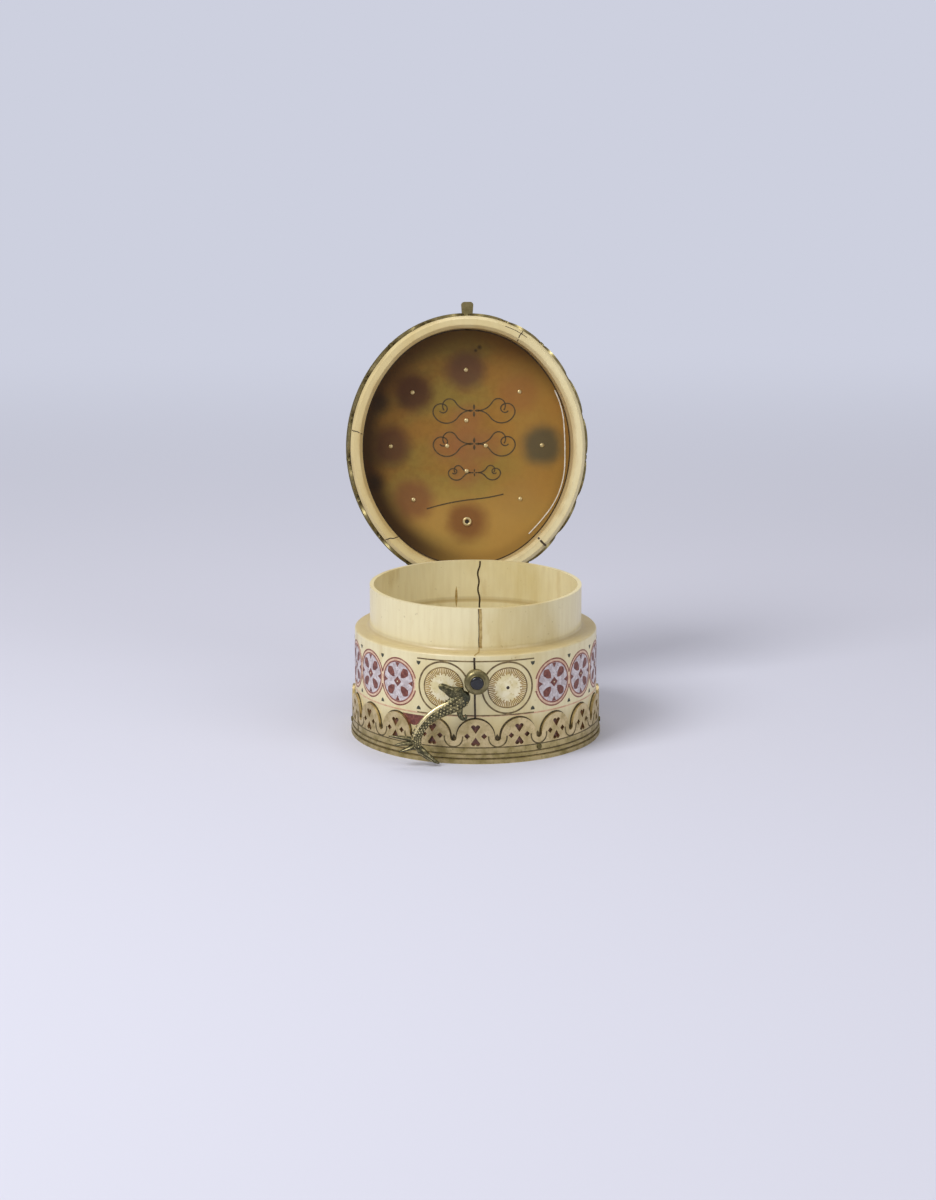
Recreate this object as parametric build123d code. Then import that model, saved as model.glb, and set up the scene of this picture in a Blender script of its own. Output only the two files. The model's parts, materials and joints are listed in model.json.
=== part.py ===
from build123d import *

import os
from math import cos, pi, radians, sin, sqrt

# Oval ivory keepsake box, made as the real one is: a cut ivory drum with a thin neck, inlaid
# roundels, pierced brass galleries at foot and lid, a horn panel in the lid, a hinge at the
# back, and a cast brass hook that swings on a stud and catches a peg on the lid.
# Millimetres. +Z is up, the hook is at the front (-Y), and the origin is the middle of the
# face that the box stands on. The lid is built closed and then turned open.

# Drum and neck
drum_half_width = 36.7
drum_half_depth = 41.1
shoulder_height = 32.5
shoulder_width = 4.6
neck_rise = 13.0
neck_wall = 1.2
cove_radius = 1.4
shoulder_round = 0.6
floor_thickness = 2.6
floor_rebate = 2.6

# Brass foot and galleries
brass_thickness = 0.8
foil_thickness = 0.15
foot_flange_thickness = 0.6
foot_flange_width = 2.0
band_height = 5.0
bead_projection = 0.4
low_bead_top = 1.3
high_bead_bottom = 1.8
high_bead_top = 2.7
arch_count = 19
arch_rise = 8.4
slot_width = 1.9
foil_margin = 0.7

# Motifs pierced in every arch, heights measured from the top of the band
heart_width = 2.7
heart_height = 2.6
high_heart_level = 5.4
low_heart_level = 1.7
diamond_size = 1.8
diamond_offset = 2.5
diamond_level = 3.3

# Nails that hold the brass to the ivory
nail_slots = (1, 4, 7, 11, 14, 17)
nail_level = 4.0
nail_shank_radius = 0.45
nail_head_radius = 0.85
nail_head_height = 0.45
nail_depth = 2.2
dome_share = 0.8

# Inlaid roundels, spaced along the wall from the front, with the crosses shared out over
# what the sunbursts and the hinge leave free
inlay_depth = 1.2
roundel_drop = 0.45
roundel_shift = -1.9
sunburst_radius = 6.2
sunburst_offset = 9.65
first_cross_offset = 25.5
crosses_each_side = 7
last_cross_to_back = 15.1
cross_gap = 0.1
cross_ring_width = 0.7
sunburst_pin_radius = 0.5
sunburst_pin_length = 3.0

# Lid
lid_overhang = 0.5
lid_wall = 3.8
lid_gap = 0.3
lid_depth = 14.0
lid_edge_chamfer = 1.0
panel_thickness = 1.2
panel_seat = 1.2
bezel_height = 1.2
lid_flange_thickness = 0.6
lid_flange_width = 2.6
lid_roundel_radius = 6.2
lid_roundel_thickness = 0.8
lid_roundel_margin = 2.55
lid_pattern_shift = -0.6
lid_roundel_count = 8
rosette_lobe_radius = 4.2
rosette_reach_across = 6.2
rosette_reach_deep = 8.1
lid_pin_radius = 0.5
lid_pin_head_radius = 0.95
lid_pin_head_height = 0.35
lid_pin_tail = 0.25
lid_pin_hole_reach = 1.0
bezel_overlap = 0.4

# Hinge
open_angle = 99.0
leaf_thickness = 0.9
leaf_width = 12.2
lower_leaf_height = 13.0
leaf_lobe_radius = 3.6
knuckle_radius = 2.1
knuckle_length = 3.9
knuckle_gap = 0.25
knuckle_stand_off = 0.8
hinge_rise = 1.3
strap_thickness = 1.1
hinge_pin_radius = 0.8
hinge_pin_head_radius = 1.3
hinge_pin_head_length = 0.6
hinge_running_gap = 0.06
rivet_radius = 0.6
rivet_head_radius = 1.0
rivet_head_height = 0.4
rivet_depth = 2.4
rivet_across = 3.6
high_rivet_drop = 4.2
low_rivet_drop = 9.4

# Stud, hook and catch peg
stud_offset = -1.7
stud_lift = 3.0
stud_radius = 1.3
stud_depth = 3.6
stud_boss_radius = 3.0
stud_boss_length = 2.1
stud_boss_seat = 2.0
hook_reach = 26.3
hook_thickness = 1.8
hook_side_gap = 0.06
hook_eye_radius = 3.2
hook_running_gap = 0.05
collar_radius = 3.7
collar_height = 1.7
collar_round = 1.275
cabochon_radius = 2.0
cabochon_seat = 0.7
cabochon_rise = 1.3
cabochon_round = 0.78
peg_offset = 0.6
peg_drop = 1.7
peg_width = 3.4
peg_flare = 0.3
peg_thickness = 2.8
peg_projection = 3.9
peg_corner_radius = 1.0
peg_tang_radius = 0.9
peg_tang_depth = 2.4

# Sizes that follow from those above
drum = (drum_half_width, drum_half_depth)
arc_centre = (drum_half_depth - drum_half_width) * (1 + sqrt(0.5))
neck_top = shoulder_height + neck_rise
lid_rim = shoulder_height + lid_gap
panel_bottom = lid_rim + lid_depth
panel_top = panel_bottom + panel_thickness
lid_ring_top = panel_top + bezel_height
lid_top = lid_ring_top + lid_flange_thickness
lid_band_bottom = lid_top - band_height
gallery_top = band_height + arch_rise
roundel_level = (gallery_top + shoulder_height) / 2 - roundel_drop
stud_level = roundel_level + stud_lift
peg_level = lid_top - peg_drop
hinge_height = lid_rim + hinge_rise
hinge_depth = drum_half_depth + leaf_thickness + knuckle_stand_off + knuckle_radius
stud_boss_end = drum_half_depth + stud_boss_length
hook_back = stud_boss_end + hook_side_gap
hook_front = hook_back + hook_thickness
collar_back = hook_front + hook_side_gap
hinge_axis = Axis((0, hinge_depth, hinge_height), (1, 0, 0))
through = 8.0
same_place = 0.01


def grow(oval, by):
    """The half sizes of an oval that stands outside another by the same width all round."""
    return (oval[0] + by, oval[1] + by)


neck = grow(drum, -shoulder_width)
cavity = grow(neck, -neck_wall)
brass_inside = grow(drum, foil_thickness)
brass_outside = grow(brass_inside, brass_thickness)
lid_outside = grow(drum, lid_overhang)
lid_inside = grow(lid_outside, -lid_wall)
lid_brass_inside = grow(lid_outside, foil_thickness)
lid_brass_outside = grow(lid_brass_inside, brass_thickness)
panel = grow(lid_inside, panel_seat)


def arc_radii(oval):
    """The radii of an oval's front and back arcs and of its side arcs."""
    return oval[1] - arc_centre, oval[0] + arc_centre


def oval_face(oval):
    """An oval of four arcs that run into each other on the diagonals."""
    across, deep = oval
    meet = arc_radii(oval)[0] * sqrt(0.5)
    x, y = meet, arc_centre + meet
    return make_face(
        [
            ThreePointArc((-x, -y), (0, -deep), (x, -y)),
            ThreePointArc((x, -y), (across, 0), (x, y)),
            ThreePointArc((x, y), (0, deep), (-x, y)),
            ThreePointArc((-x, y), (-across, 0), (-x, -y)),
        ]
    )


def oval_block(oval, bottom, top):
    """A solid oval from one height to another."""
    return extrude(Pos(0, 0, bottom) * oval_face(oval), top - bottom)


def oval_ring(outside, inside, bottom, top):
    """An oval wall from one height to another."""
    return oval_block(outside, bottom, top) - oval_block(inside, bottom, top)


def wall_length(oval):
    """The distance all round an oval wall."""
    return pi * sum(arc_radii(oval))


cross_pitch = (wall_length(drum) / 2 - first_cross_offset - last_cross_to_back) / (crosses_each_side - 1)
cross_ring_radius = (cross_pitch - cross_gap) / 2
cross_disc_radius = cross_ring_radius - cross_ring_width
lid_roundel_circle = lid_inside[0] - bezel_overlap - lid_roundel_margin - lid_roundel_radius


def wall_plane(oval, distance, level=0.0):
    """The upright plane that touches an oval wall at a distance along it from the front.
    Its x runs to the right as seen from outside, its y is up, and its z points outwards."""
    end_radius, side_radius = arc_radii(oval)
    round_trip = wall_length(oval)
    left = distance % round_trip > round_trip / 2
    along = round_trip - distance % round_trip if left else distance % round_trip
    first_joint = end_radius * pi / 4
    second_joint = first_joint + side_radius * pi / 2
    if along <= first_joint:
        centre, radius, turn = Vector(0, -arc_centre), end_radius, along / end_radius
    elif along <= second_joint:
        centre, radius = Vector(-arc_centre, 0), side_radius
        turn = pi / 4 + (along - first_joint) / side_radius
    else:
        centre, radius = Vector(0, arc_centre), end_radius
        turn = pi * 3 / 4 + (along - second_joint) / end_radius
    outward = Vector(sin(turn), -cos(turn), 0)
    touch = centre + outward * radius + Vector(0, 0, level)
    if left:
        outward = Vector(-outward.X, outward.Y, 0)
        touch = Vector(-touch.X, touch.Y, level)
    return Plane(origin=touch, x_dir=Vector(0, 0, 1).cross(outward), z_dir=outward)


def through_wall(plane, outline, reach=3.0):
    """An outline drawn on a wall plane, pushed through the wall both ways."""
    return extrude(plane * outline, reach, both=True)


def front_plane(depth):
    """The upright plane across the front of the box, at a depth in front of its middle."""
    return Plane(origin=(stud_offset, -depth, stud_level), x_dir=(1, 0, 0), z_dir=(0, -1, 0))


# Foot and galleries


def moulded_band(inside, bottom_up, base_level):
    """A flat brass band with two beads at its outer edge, standing up or hanging down."""
    outside = grow(inside, brass_thickness + foil_thickness)

    def ring(oval_size, low, high):
        if bottom_up:
            return oval_ring(oval_size, inside, base_level + low, base_level + high)
        return oval_ring(oval_size, inside, base_level - high, base_level - low)

    band = ring(outside, 0, band_height)
    band += ring(grow(outside, bead_projection), 0, low_bead_top)
    band += ring(grow(outside, bead_projection / 2), high_bead_bottom, high_bead_top)
    return band


def heart(point_down):
    """A small heart outline, its middle at the origin."""
    lobe = heart_width / 4
    lobe_level = heart_height / 2 - lobe
    tip = (0, -heart_height / 2)
    edges = [
        Line(tip, (heart_width / 2, lobe_level)),
        ThreePointArc((heart_width / 2, lobe_level), (lobe, heart_height / 2), (0, lobe_level)),
        ThreePointArc((0, lobe_level), (-lobe, heart_height / 2), (-heart_width / 2, lobe_level)),
        Line((-heart_width / 2, lobe_level), tip),
    ]
    outline = make_face(edges)
    return outline if point_down else Rot(0, 0, 180) * outline


def diamond(size):
    """A square standing on its corner."""
    side = size / sqrt(2)
    return Rot(0, 0, 45) * Rectangle(side, side)


def arch_motifs(level):
    """Two hearts, point to point, and a diamond on each side, above a band's edge."""
    return [
        Pos(0, level + high_heart_level) * heart(True),
        Pos(0, level + low_heart_level) * heart(False),
        Pos(-diamond_offset, level + diamond_level) * diamond(diamond_size),
        Pos(diamond_offset, level + diamond_level) * diamond(diamond_size),
    ]


def slot_outline(pitch, level):
    """The space between two round arches, with a round-bottomed slot below it."""
    arch_radius = (pitch - slot_width) / 2
    arch_level = level + arch_rise - arch_radius
    space = Pos(0, arch_level + arch_rise / 2) * Rectangle(pitch, arch_rise)
    for side in (-1, 1):
        space -= Pos(side * pitch / 2, arch_level) * Circle(arch_radius)
    return space + Pos(0, arch_level) * Circle(slot_width / 2)


def arch_foil_outline(pitch, level):
    """The patch of red foil behind one arch, a little smaller than the arch."""
    arch_radius = (pitch - slot_width) / 2
    foil_radius = arch_radius - foil_margin
    arch_level = level + arch_rise - arch_radius
    foot = arch_level - level
    upright = Pos(0, level + foot / 2) * Rectangle(2 * foil_radius, foot)
    return Pos(0, arch_level) * Circle(foil_radius) + upright


def gallery(inside, shift, skipped=()):
    """The upright pierced gallery, its foils, and the planes of its slots.
    Arch 0 is at the front, and the arches run on to the right."""
    outside = grow(inside, brass_thickness)
    pitch = wall_length(outside) / arch_count
    band = oval_ring(outside, inside, band_height, gallery_top)
    lining = oval_ring(inside, grow(inside, -foil_thickness), band_height, gallery_top)
    cutters, foils = [], []
    for index in range(arch_count):
        arch = wall_plane(outside, shift + index * pitch)
        slot = wall_plane(outside, shift + (index + 0.5) * pitch)
        cutters.append(through_wall(slot, slot_outline(pitch, band_height)))
        if index in skipped:
            continue
        for motif in arch_motifs(band_height):
            cutters.append(through_wall(arch, motif))
        foils.append(lining & through_wall(arch, arch_foil_outline(pitch, band_height)))
    return band - cutters, foils


def nail_planes(oval, shift):
    """Where the nails stand, under some of the slots."""
    pitch = wall_length(oval) / arch_count
    return [wall_plane(oval, shift + (slot + 0.5) * pitch, nail_level) for slot in nail_slots]


def round_nail(plane, shank_radius, depth, head_radius, head_height, seat=0.0):
    """A nail with a low domed head that stands on the plane, or on a seat above it."""
    shank = extrude(plane.offset(-depth) * Circle(shank_radius), depth + seat)
    head = extrude(plane.offset(seat) * Circle(head_radius), head_height)
    dome = head.faces().sort_by(Axis(plane.origin, plane.z_dir))[-1]
    head = fillet(dome.edges(), head_height * dome_share)
    return shank + head


def nail_hole(plane, radius, depth):
    """The hole that a nail's shank fills."""
    return extrude(plane.offset(-depth) * Circle(radius), depth + through)


gallery_shift = -1.9
base_nail_planes = nail_planes(brass_outside, gallery_shift)
foot_flange_inside = grow(drum, -foot_flange_width)


def foot_moulding():
    band = moulded_band(drum, True, 0)
    band += oval_ring(drum, foot_flange_inside, 0, foot_flange_thickness)
    return band - [nail_hole(plane, nail_shank_radius, nail_depth) for plane in base_nail_planes]


def base_nails():
    return [
        round_nail(plane, nail_shank_radius, nail_depth, nail_head_radius, nail_head_height)
        for plane in base_nail_planes
    ]


# Ivory drum and its inlays

sunburst_planes = [
    wall_plane(drum, roundel_shift + side * sunburst_offset, roundel_level) for side in (-1, 1)
]
cross_planes = [
    wall_plane(drum, roundel_shift + side * (first_cross_offset + number * cross_pitch), roundel_level)
    for side in (-1, 1)
    for number in range(crosses_each_side)
]


def recess(plane, outline):
    """A flat-floored pocket in the wall, open to the outside."""
    return extrude(plane.offset(-inlay_depth) * outline, through)


def inlaid(plane, outline):
    """A piece that fills a pocket and ends flush with the wall's outside."""
    return recess(plane, outline) & oval_block(drum, 0, shoulder_height)


def sunburst_discs():
    outline = Circle(sunburst_radius) - Circle(sunburst_pin_radius)
    return [inlaid(plane, outline) for plane in sunburst_planes]


def sunburst_pins():
    return [nail_shank(plane, sunburst_pin_radius, sunburst_pin_length) for plane in sunburst_planes]


def cross_discs():
    return [inlaid(plane, Circle(cross_disc_radius)) for plane in cross_planes]


def cross_rings():
    ring = Circle(cross_ring_radius) - Circle(cross_disc_radius)
    return [inlaid(plane, ring) for plane in cross_planes]


back_plane = wall_plane(drum, wall_length(drum) / 2)
lower_rivet_spots = [
    (-rivet_across, high_rivet_drop),
    (rivet_across, high_rivet_drop),
    (0, low_rivet_drop),
]


def back_spot(oval, across, level):
    """The upright plane on the back wall at a distance to the right of its middle."""
    return wall_plane(oval, wall_length(oval) / 2 + across, level)


lower_leaf_top = shoulder_height - shoulder_round
lower_rivet_planes = [
    back_spot(grow(drum, leaf_thickness), across, lower_leaf_top - drop)
    for across, drop in lower_rivet_spots
]


def edges_at(body, level):
    """The flat-lying edges of a body at one height."""
    return body.edges().filter_by_position(Axis.Z, level - same_place, level + same_place)


def ivory_drum():
    body = oval_block(drum, foot_flange_thickness, shoulder_height)
    body = fillet(body.faces().sort_by(Axis.Z)[-1].edges(), shoulder_round)
    body += oval_block(neck, shoulder_height, neck_top)
    inner_corner = [
        edge
        for edge in edges_at(body, shoulder_height)
        if edge.bounding_box().max.X < neck[0] + same_place
    ]
    body = fillet(inner_corner, cove_radius)
    body -= oval_block(cavity, 0, neck_top)
    body -= oval_block(grow(cavity, floor_rebate), 0, floor_thickness)
    recesses = [recess(plane, Circle(sunburst_radius)) for plane in sunburst_planes]
    recesses += [recess(plane, Circle(cross_ring_radius)) for plane in cross_planes]
    holes = [nail_hole(plane, nail_shank_radius, nail_depth) for plane in base_nail_planes]
    holes += [nail_hole(plane, rivet_radius, rivet_depth) for plane in lower_rivet_planes]
    holes += [nail_hole(plane, sunburst_pin_radius, sunburst_pin_length) for plane in sunburst_planes]
    holes.append(extrude(front_plane(drum_half_depth - stud_depth) * Circle(stud_radius), through))
    return body - recesses - holes


def floor_disc():
    return oval_block(grow(cavity, floor_rebate), 0, floor_thickness)


# Stud and hook


def stud_post():
    post = extrude(
        front_plane(drum_half_depth - stud_depth) * Circle(stud_radius),
        collar_back + collar_height / 2 - drum_half_depth + stud_depth,
    )
    boss_foot = front_plane(drum_half_depth - stud_boss_seat)
    boss = extrude(boss_foot * Circle(stud_boss_radius), stud_boss_length + stud_boss_seat)
    return post + (boss - oval_block(drum, 0, shoulder_height))


def stud_collar():
    collar = extrude(front_plane(collar_back) * Circle(collar_radius), collar_height)
    outer_face = collar.faces().sort_by(Axis.Y)[0]
    collar = fillet(outer_face.edges(), collar_round)
    collar -= extrude(front_plane(collar_back) * Circle(stud_radius), collar_height / 2)
    seat = front_plane(collar_back + collar_height - cabochon_seat)
    return collar - extrude(seat * Circle(cabochon_radius), cabochon_seat)


def stud_cabochon():
    seat = front_plane(collar_back + collar_height - cabochon_seat)
    stone = extrude(seat * Circle(cabochon_radius), cabochon_rise)
    return fillet(stone.faces().sort_by(Axis.Y)[0].edges(), cabochon_round)


def hook_outline():
    """The swimming dolphin of the hook, seen from the front, its eye at the origin.
    The body curves down to the left, two fins stand out near the eye, and the tail forks.
    It is drawn for one reach from the eye to the tail's spikes, and scaled to the real one."""
    drawn_reach = 26.3
    fin_root = (-8.8, -5.7)
    fin_tip = (-11.0, -0.5)
    belly_fin = (-5.8, -8.8)
    tail_root = (-19.2, -16.1)
    tail_crook = (-16.3, -18.4)
    edges = [
        Spline((-2.4, -1.4), (-4.4, -2.6), (-6.0, -3.0)),
        Spline((-6.0, -3.0), (-8.0, -1.1), fin_tip),
        Spline(fin_tip, (-9.6, -3.1), fin_root),
        Spline(fin_root, (-12.6, -7.6), (-15.8, -10.3), (-18.1, -13.5), tail_root),
        Line(tail_root, (-drawn_reach, -16.1)),
        Line((-drawn_reach, -16.1), (-21.8, -17.6)),
        Line((-21.8, -17.6), (-24.6, -18.9)),
        Line((-24.6, -18.9), (-21.2, -19.3)),
        Line((-21.2, -19.3), (-23.2, -21.1)),
        Line((-23.2, -21.1), (-19.2, -21.0)),
        Spline((-19.2, -21.0), (-15.6, -22.6), (-12.0, -24.9)),
        Line((-12.0, -24.9), (-10.6, -24.1)),
        Spline((-10.6, -24.1), (-13.4, -21.6), tail_crook),
        Spline(tail_crook, (-16.6, -15.4), (-14.0, -12.2), (-10.0, -10.1), belly_fin),
        Spline(belly_fin, (-5.2, -11.0), (-3.4, -12.2), (-2.4, -10.9)),
        Spline((-2.4, -10.9), (-3.7, -10.1), (-3.8, -7.6)),
        Spline((-3.8, -7.6), (-3.2, -4.9), (-1.6, -2.6)),
        Line((-1.6, -2.6), (-2.4, -1.4)),
    ]
    return scale(make_face(edges), hook_reach / drawn_reach)


def latch_hook():
    outline = hook_outline() + Circle(hook_eye_radius) - Circle(stud_radius + hook_running_gap)
    return extrude(front_plane(hook_back) * outline, hook_thickness)


# Lid, built closed

lid_nail_planes = [
    wall_plane(
        lid_brass_outside,
        wall_length(lid_brass_outside) * (0.5 + (slot + 0.5) / arch_count),
        lid_top - nail_level,
    )
    for slot in nail_slots
]
peg_plane = Plane(
    origin=(peg_offset, -lid_brass_outside[1], peg_level), x_dir=(1, 0, 0), z_dir=(0, -1, 0)
)
upper_leaf_bottom = hinge_height + knuckle_radius - strap_thickness
upper_rivet_planes = [
    back_spot(grow(lid_outside, leaf_thickness), across, (upper_leaf_bottom + lid_band_bottom) / 2)
    for across in (-rivet_across, rivet_across)
]
lid_pin_spots = [
    (
        lid_roundel_circle * sin(radians(360 / lid_roundel_count * number)),
        lid_roundel_circle * cos(radians(360 / lid_roundel_count * number)) + lid_pattern_shift,
    )
    for number in range(lid_roundel_count)
]
rosette_pin_spots = [
    (rosette_reach_across, lid_pattern_shift),
    (-rosette_reach_across, lid_pattern_shift),
    (0, lid_pattern_shift + rosette_reach_deep),
    (0, lid_pattern_shift - rosette_reach_deep),
]


def pin_holes():
    return [
        Pos(across, deep, panel_bottom - lid_pin_hole_reach) * extrude(Circle(lid_pin_radius), through)
        for across, deep in lid_pin_spots + rosette_pin_spots
    ]


def lid_ring():
    ring = oval_ring(lid_outside, lid_inside, lid_rim, lid_ring_top)
    ring -= oval_block(panel, panel_bottom, lid_ring_top)
    inner_edge = [
        edge
        for edge in edges_at(ring, lid_rim)
        if edge.bounding_box().max.X < lid_inside[0] + same_place
    ]
    ring = chamfer(inner_edge, lid_edge_chamfer)
    holes = [nail_hole(plane, nail_shank_radius, nail_depth) for plane in lid_nail_planes]
    holes += [nail_hole(plane, rivet_radius, rivet_depth) for plane in upper_rivet_planes]
    holes.append(nail_hole(peg_plane, peg_tang_radius, peg_tang_depth))
    return ring - holes


def horn_panel():
    return oval_block(panel, panel_bottom, panel_top) - pin_holes()


def panel_bezel():
    return oval_ring(panel, grow(lid_inside, -bezel_overlap), panel_top, lid_ring_top)


def lid_roundels():
    return [
        Pos(across, deep, panel_top) * extrude(Circle(lid_roundel_radius), lid_roundel_thickness)
        - pin_holes()
        for across, deep in lid_pin_spots
    ]


def lid_rosette():
    plate = Pos(0, lid_pattern_shift) * Rectangle(rosette_reach_across, rosette_reach_deep)
    for across, deep in rosette_pin_spots:
        plate += Pos(across, deep) * Circle(rosette_lobe_radius)
    return Pos(0, 0, panel_top) * extrude(plate, lid_roundel_thickness) - pin_holes()


def lid_pins():
    seat = lid_roundel_thickness
    depth = panel_thickness + lid_pin_tail
    return [
        round_nail(
            Plane(origin=(across, deep, panel_top)),
            lid_pin_radius,
            depth,
            lid_pin_head_radius,
            lid_pin_head_height,
            seat,
        )
        for across, deep in lid_pin_spots + rosette_pin_spots
    ]


def lid_moulding():
    band = moulded_band(lid_outside, False, lid_top)
    band += oval_ring(lid_outside, grow(lid_outside, -lid_flange_width), lid_ring_top, lid_top)
    holes = [nail_hole(plane, nail_shank_radius, nail_depth) for plane in lid_nail_planes]
    holes.append(nail_hole(peg_plane, peg_tang_radius, peg_tang_depth))
    return band - holes


def lid_nails():
    return [
        round_nail(plane, nail_shank_radius, nail_depth, nail_head_radius, nail_head_height)
        for plane in lid_nail_planes
    ]


def hang_down(pieces):
    """Turn a standing gallery over, so that its arches hang from the lid's top band."""
    return [Pos(0, 0, lid_top) * Rot(0, 180, 0) * piece for piece in pieces]


def lid_gallery_and_foils():
    """The lid's gallery has an arch at the back, which makes way for the hinge's upper leaf."""
    half_way = wall_length(grow(lid_brass_inside, brass_thickness)) / 2
    pierced, foils = gallery(lid_brass_inside, half_way, skipped=(0,))
    pitch = 2 * half_way / arch_count
    leaf_place = Pos(0, lid_outside[1], band_height + arch_rise / 2) * Box(
        pitch, 2 * through, arch_rise + brass_thickness
    )
    return hang_down([pierced - leaf_place])[0], hang_down(foils)


def catch_peg():
    half = peg_width / 2
    outline = make_face(
        Polyline(
            (-half, 0),
            (half, 0),
            (half + peg_flare, peg_projection),
            (-half - peg_flare, peg_projection),
            close=True,
        )
    )
    peg_foot = peg_plane.origin - Vector(0, 0, peg_thickness / 2)
    lying = Plane(origin=peg_foot, x_dir=(-1, 0, 0), z_dir=(0, 0, 1))
    head = extrude(lying * outline, peg_thickness)
    head = fillet(head.edges().filter_by(Axis.Z).sort_by(Axis.Y)[:2], peg_corner_radius)
    head -= moulded_band(lid_outside, False, lid_top)
    return head + nail_shank(peg_plane, peg_tang_radius, peg_tang_depth)


def nail_shank(plane, radius, depth):
    """A plain round tang that runs inwards from a plane."""
    return extrude(plane.offset(-depth) * Circle(radius), depth)


# Hinge


def knuckle(middle):
    """One barrel of the hinge, still without its bore."""
    plane = Plane(
        origin=(middle - knuckle_length / 2, hinge_depth, hinge_height), x_dir=(0, 1, 0), z_dir=(1, 0, 0)
    )
    return extrude(plane * Circle(knuckle_radius), knuckle_length)


def hinge_bore(radius):
    plane = Plane(origin=(0, hinge_depth, hinge_height), x_dir=(0, 1, 0), z_dir=(1, 0, 0))
    return extrude(plane * Circle(radius), 2 * leaf_width, both=True)


def strap(middle, wall, low):
    """The flat bar that carries a barrel out from its leaf."""
    width = hinge_depth - wall
    bar = Box(knuckle_length, width, strap_thickness, align=(Align.CENTER, Align.MIN, Align.MIN))
    return Pos(middle, wall, low) * bar


knuckle_pitch = knuckle_length + knuckle_gap


def hinge_lower_leaf():
    straight = lower_leaf_height - leaf_lobe_radius
    lobe_level = lower_leaf_top - lower_leaf_height + leaf_lobe_radius / 2
    outline = Pos(0, lower_leaf_top - straight / 2) * Rectangle(leaf_width, straight)
    outline += Pos(0, lobe_level) * Circle(leaf_lobe_radius)
    plate = oval_ring(grow(drum, leaf_thickness), drum, 0, lower_leaf_top)
    leaf = plate & through_wall(back_plane, outline, through)
    for middle in (-knuckle_pitch, knuckle_pitch):
        arm = strap(middle, drum_half_depth, shoulder_height - strap_thickness)
        leaf += (arm - oval_block(drum, 0, shoulder_height)) + knuckle(middle)
    leaf -= hinge_bore(hinge_pin_radius)
    return leaf - [nail_hole(plane, rivet_radius, rivet_depth) for plane in lower_rivet_planes]


def hinge_upper_leaf():
    height = lid_band_bottom - upper_leaf_bottom
    outline = Pos(0, upper_leaf_bottom + height / 2) * Rectangle(leaf_width, height)
    plate = oval_ring(grow(lid_outside, leaf_thickness), lid_outside, upper_leaf_bottom, lid_band_bottom)
    leaf = plate & through_wall(back_plane, outline, through)
    arm = strap(0, drum_half_depth, upper_leaf_bottom) - oval_block(lid_outside, 0, lid_top)
    leaf += arm + knuckle(0)
    leaf -= hinge_bore(hinge_pin_radius + hinge_running_gap)
    return leaf - [nail_hole(plane, rivet_radius, rivet_depth) for plane in upper_rivet_planes]


def rivets(planes):
    return [
        round_nail(plane, rivet_radius, rivet_depth, rivet_head_radius, rivet_head_height)
        for plane in planes
    ]


def hinge_pin():
    half = knuckle_pitch + knuckle_length / 2
    plane = Plane(origin=(-half, hinge_depth, hinge_height), x_dir=(0, 1, 0), z_dir=(1, 0, 0))
    pin = extrude(plane * Circle(hinge_pin_radius), 2 * half)
    for end in (plane.offset(-hinge_pin_head_length), plane.offset(2 * half)):
        pin += extrude(end * Circle(hinge_pin_head_radius), hinge_pin_head_length)
    return pin


# Write every piece in its place

base_gallery, base_foils = gallery(brass_inside, gallery_shift)
lid_gallery, lid_foils = lid_gallery_and_foils()

base_pieces = {
    "ivory_drum": ivory_drum(),
    "floor_disc": floor_disc(),
    "foot_moulding": foot_moulding(),
    "base_gallery": base_gallery,
    "base_foils": base_foils,
    "base_nails": base_nails(),
    "sunburst_discs": sunburst_discs(),
    "sunburst_pins": sunburst_pins(),
    "cross_discs": cross_discs(),
    "cross_rings": cross_rings(),
    "hinge_lower_leaf": hinge_lower_leaf(),
    "hinge_lower_rivets": rivets(lower_rivet_planes),
    "hinge_pin": hinge_pin(),
    "stud_post": stud_post(),
    "stud_collar": stud_collar(),
    "stud_cabochon": stud_cabochon(),
    "latch_hook": latch_hook(),
}

lid_pieces = {
    "lid_ring": lid_ring(),
    "horn_panel": horn_panel(),
    "panel_bezel": panel_bezel(),
    "lid_roundels": lid_roundels(),
    "lid_rosette": lid_rosette(),
    "lid_pins": lid_pins(),
    "lid_moulding": lid_moulding(),
    "lid_gallery": lid_gallery,
    "lid_foils": lid_foils,
    "lid_nails": lid_nails(),
    "catch_peg": catch_peg(),
    "hinge_upper_leaf": hinge_upper_leaf(),
    "hinge_upper_rivets": rivets(upper_rivet_planes),
}


def as_solids(piece):
    """All the solids of a piece or of a list of pieces."""
    if isinstance(piece, (list, tuple)):
        return [solid for member in piece for solid in as_solids(member)]
    return list(piece.solids())


os.makedirs("parts", exist_ok=True)
for name, piece in base_pieces.items():
    export_step(Compound(children=as_solids(piece)), f"parts/{name}.step")
for name, piece in lid_pieces.items():
    opened = [solid.rotate(hinge_axis, -open_angle) for solid in as_solids(piece)]
    export_step(Compound(children=opened), f"parts/{name}.step")
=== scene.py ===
# %% [markdown]
# # An oval ivory keepsake box
# The box arrives as a finished CAD model: an ivory drum with a thin neck, pierced brass
# galleries, inlaid roundels, a lid with a horn panel, and a hook on a stud. Blender gives it
# what CAD leaves out: colour, age, engraved lines, petals, cracks and a cast dolphin.
# The first cell loads the model.

import json
import math

import bmesh
import bpy
from mathutils import Matrix, Vector
from mathutils.bvhtree import BVHTree


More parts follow.
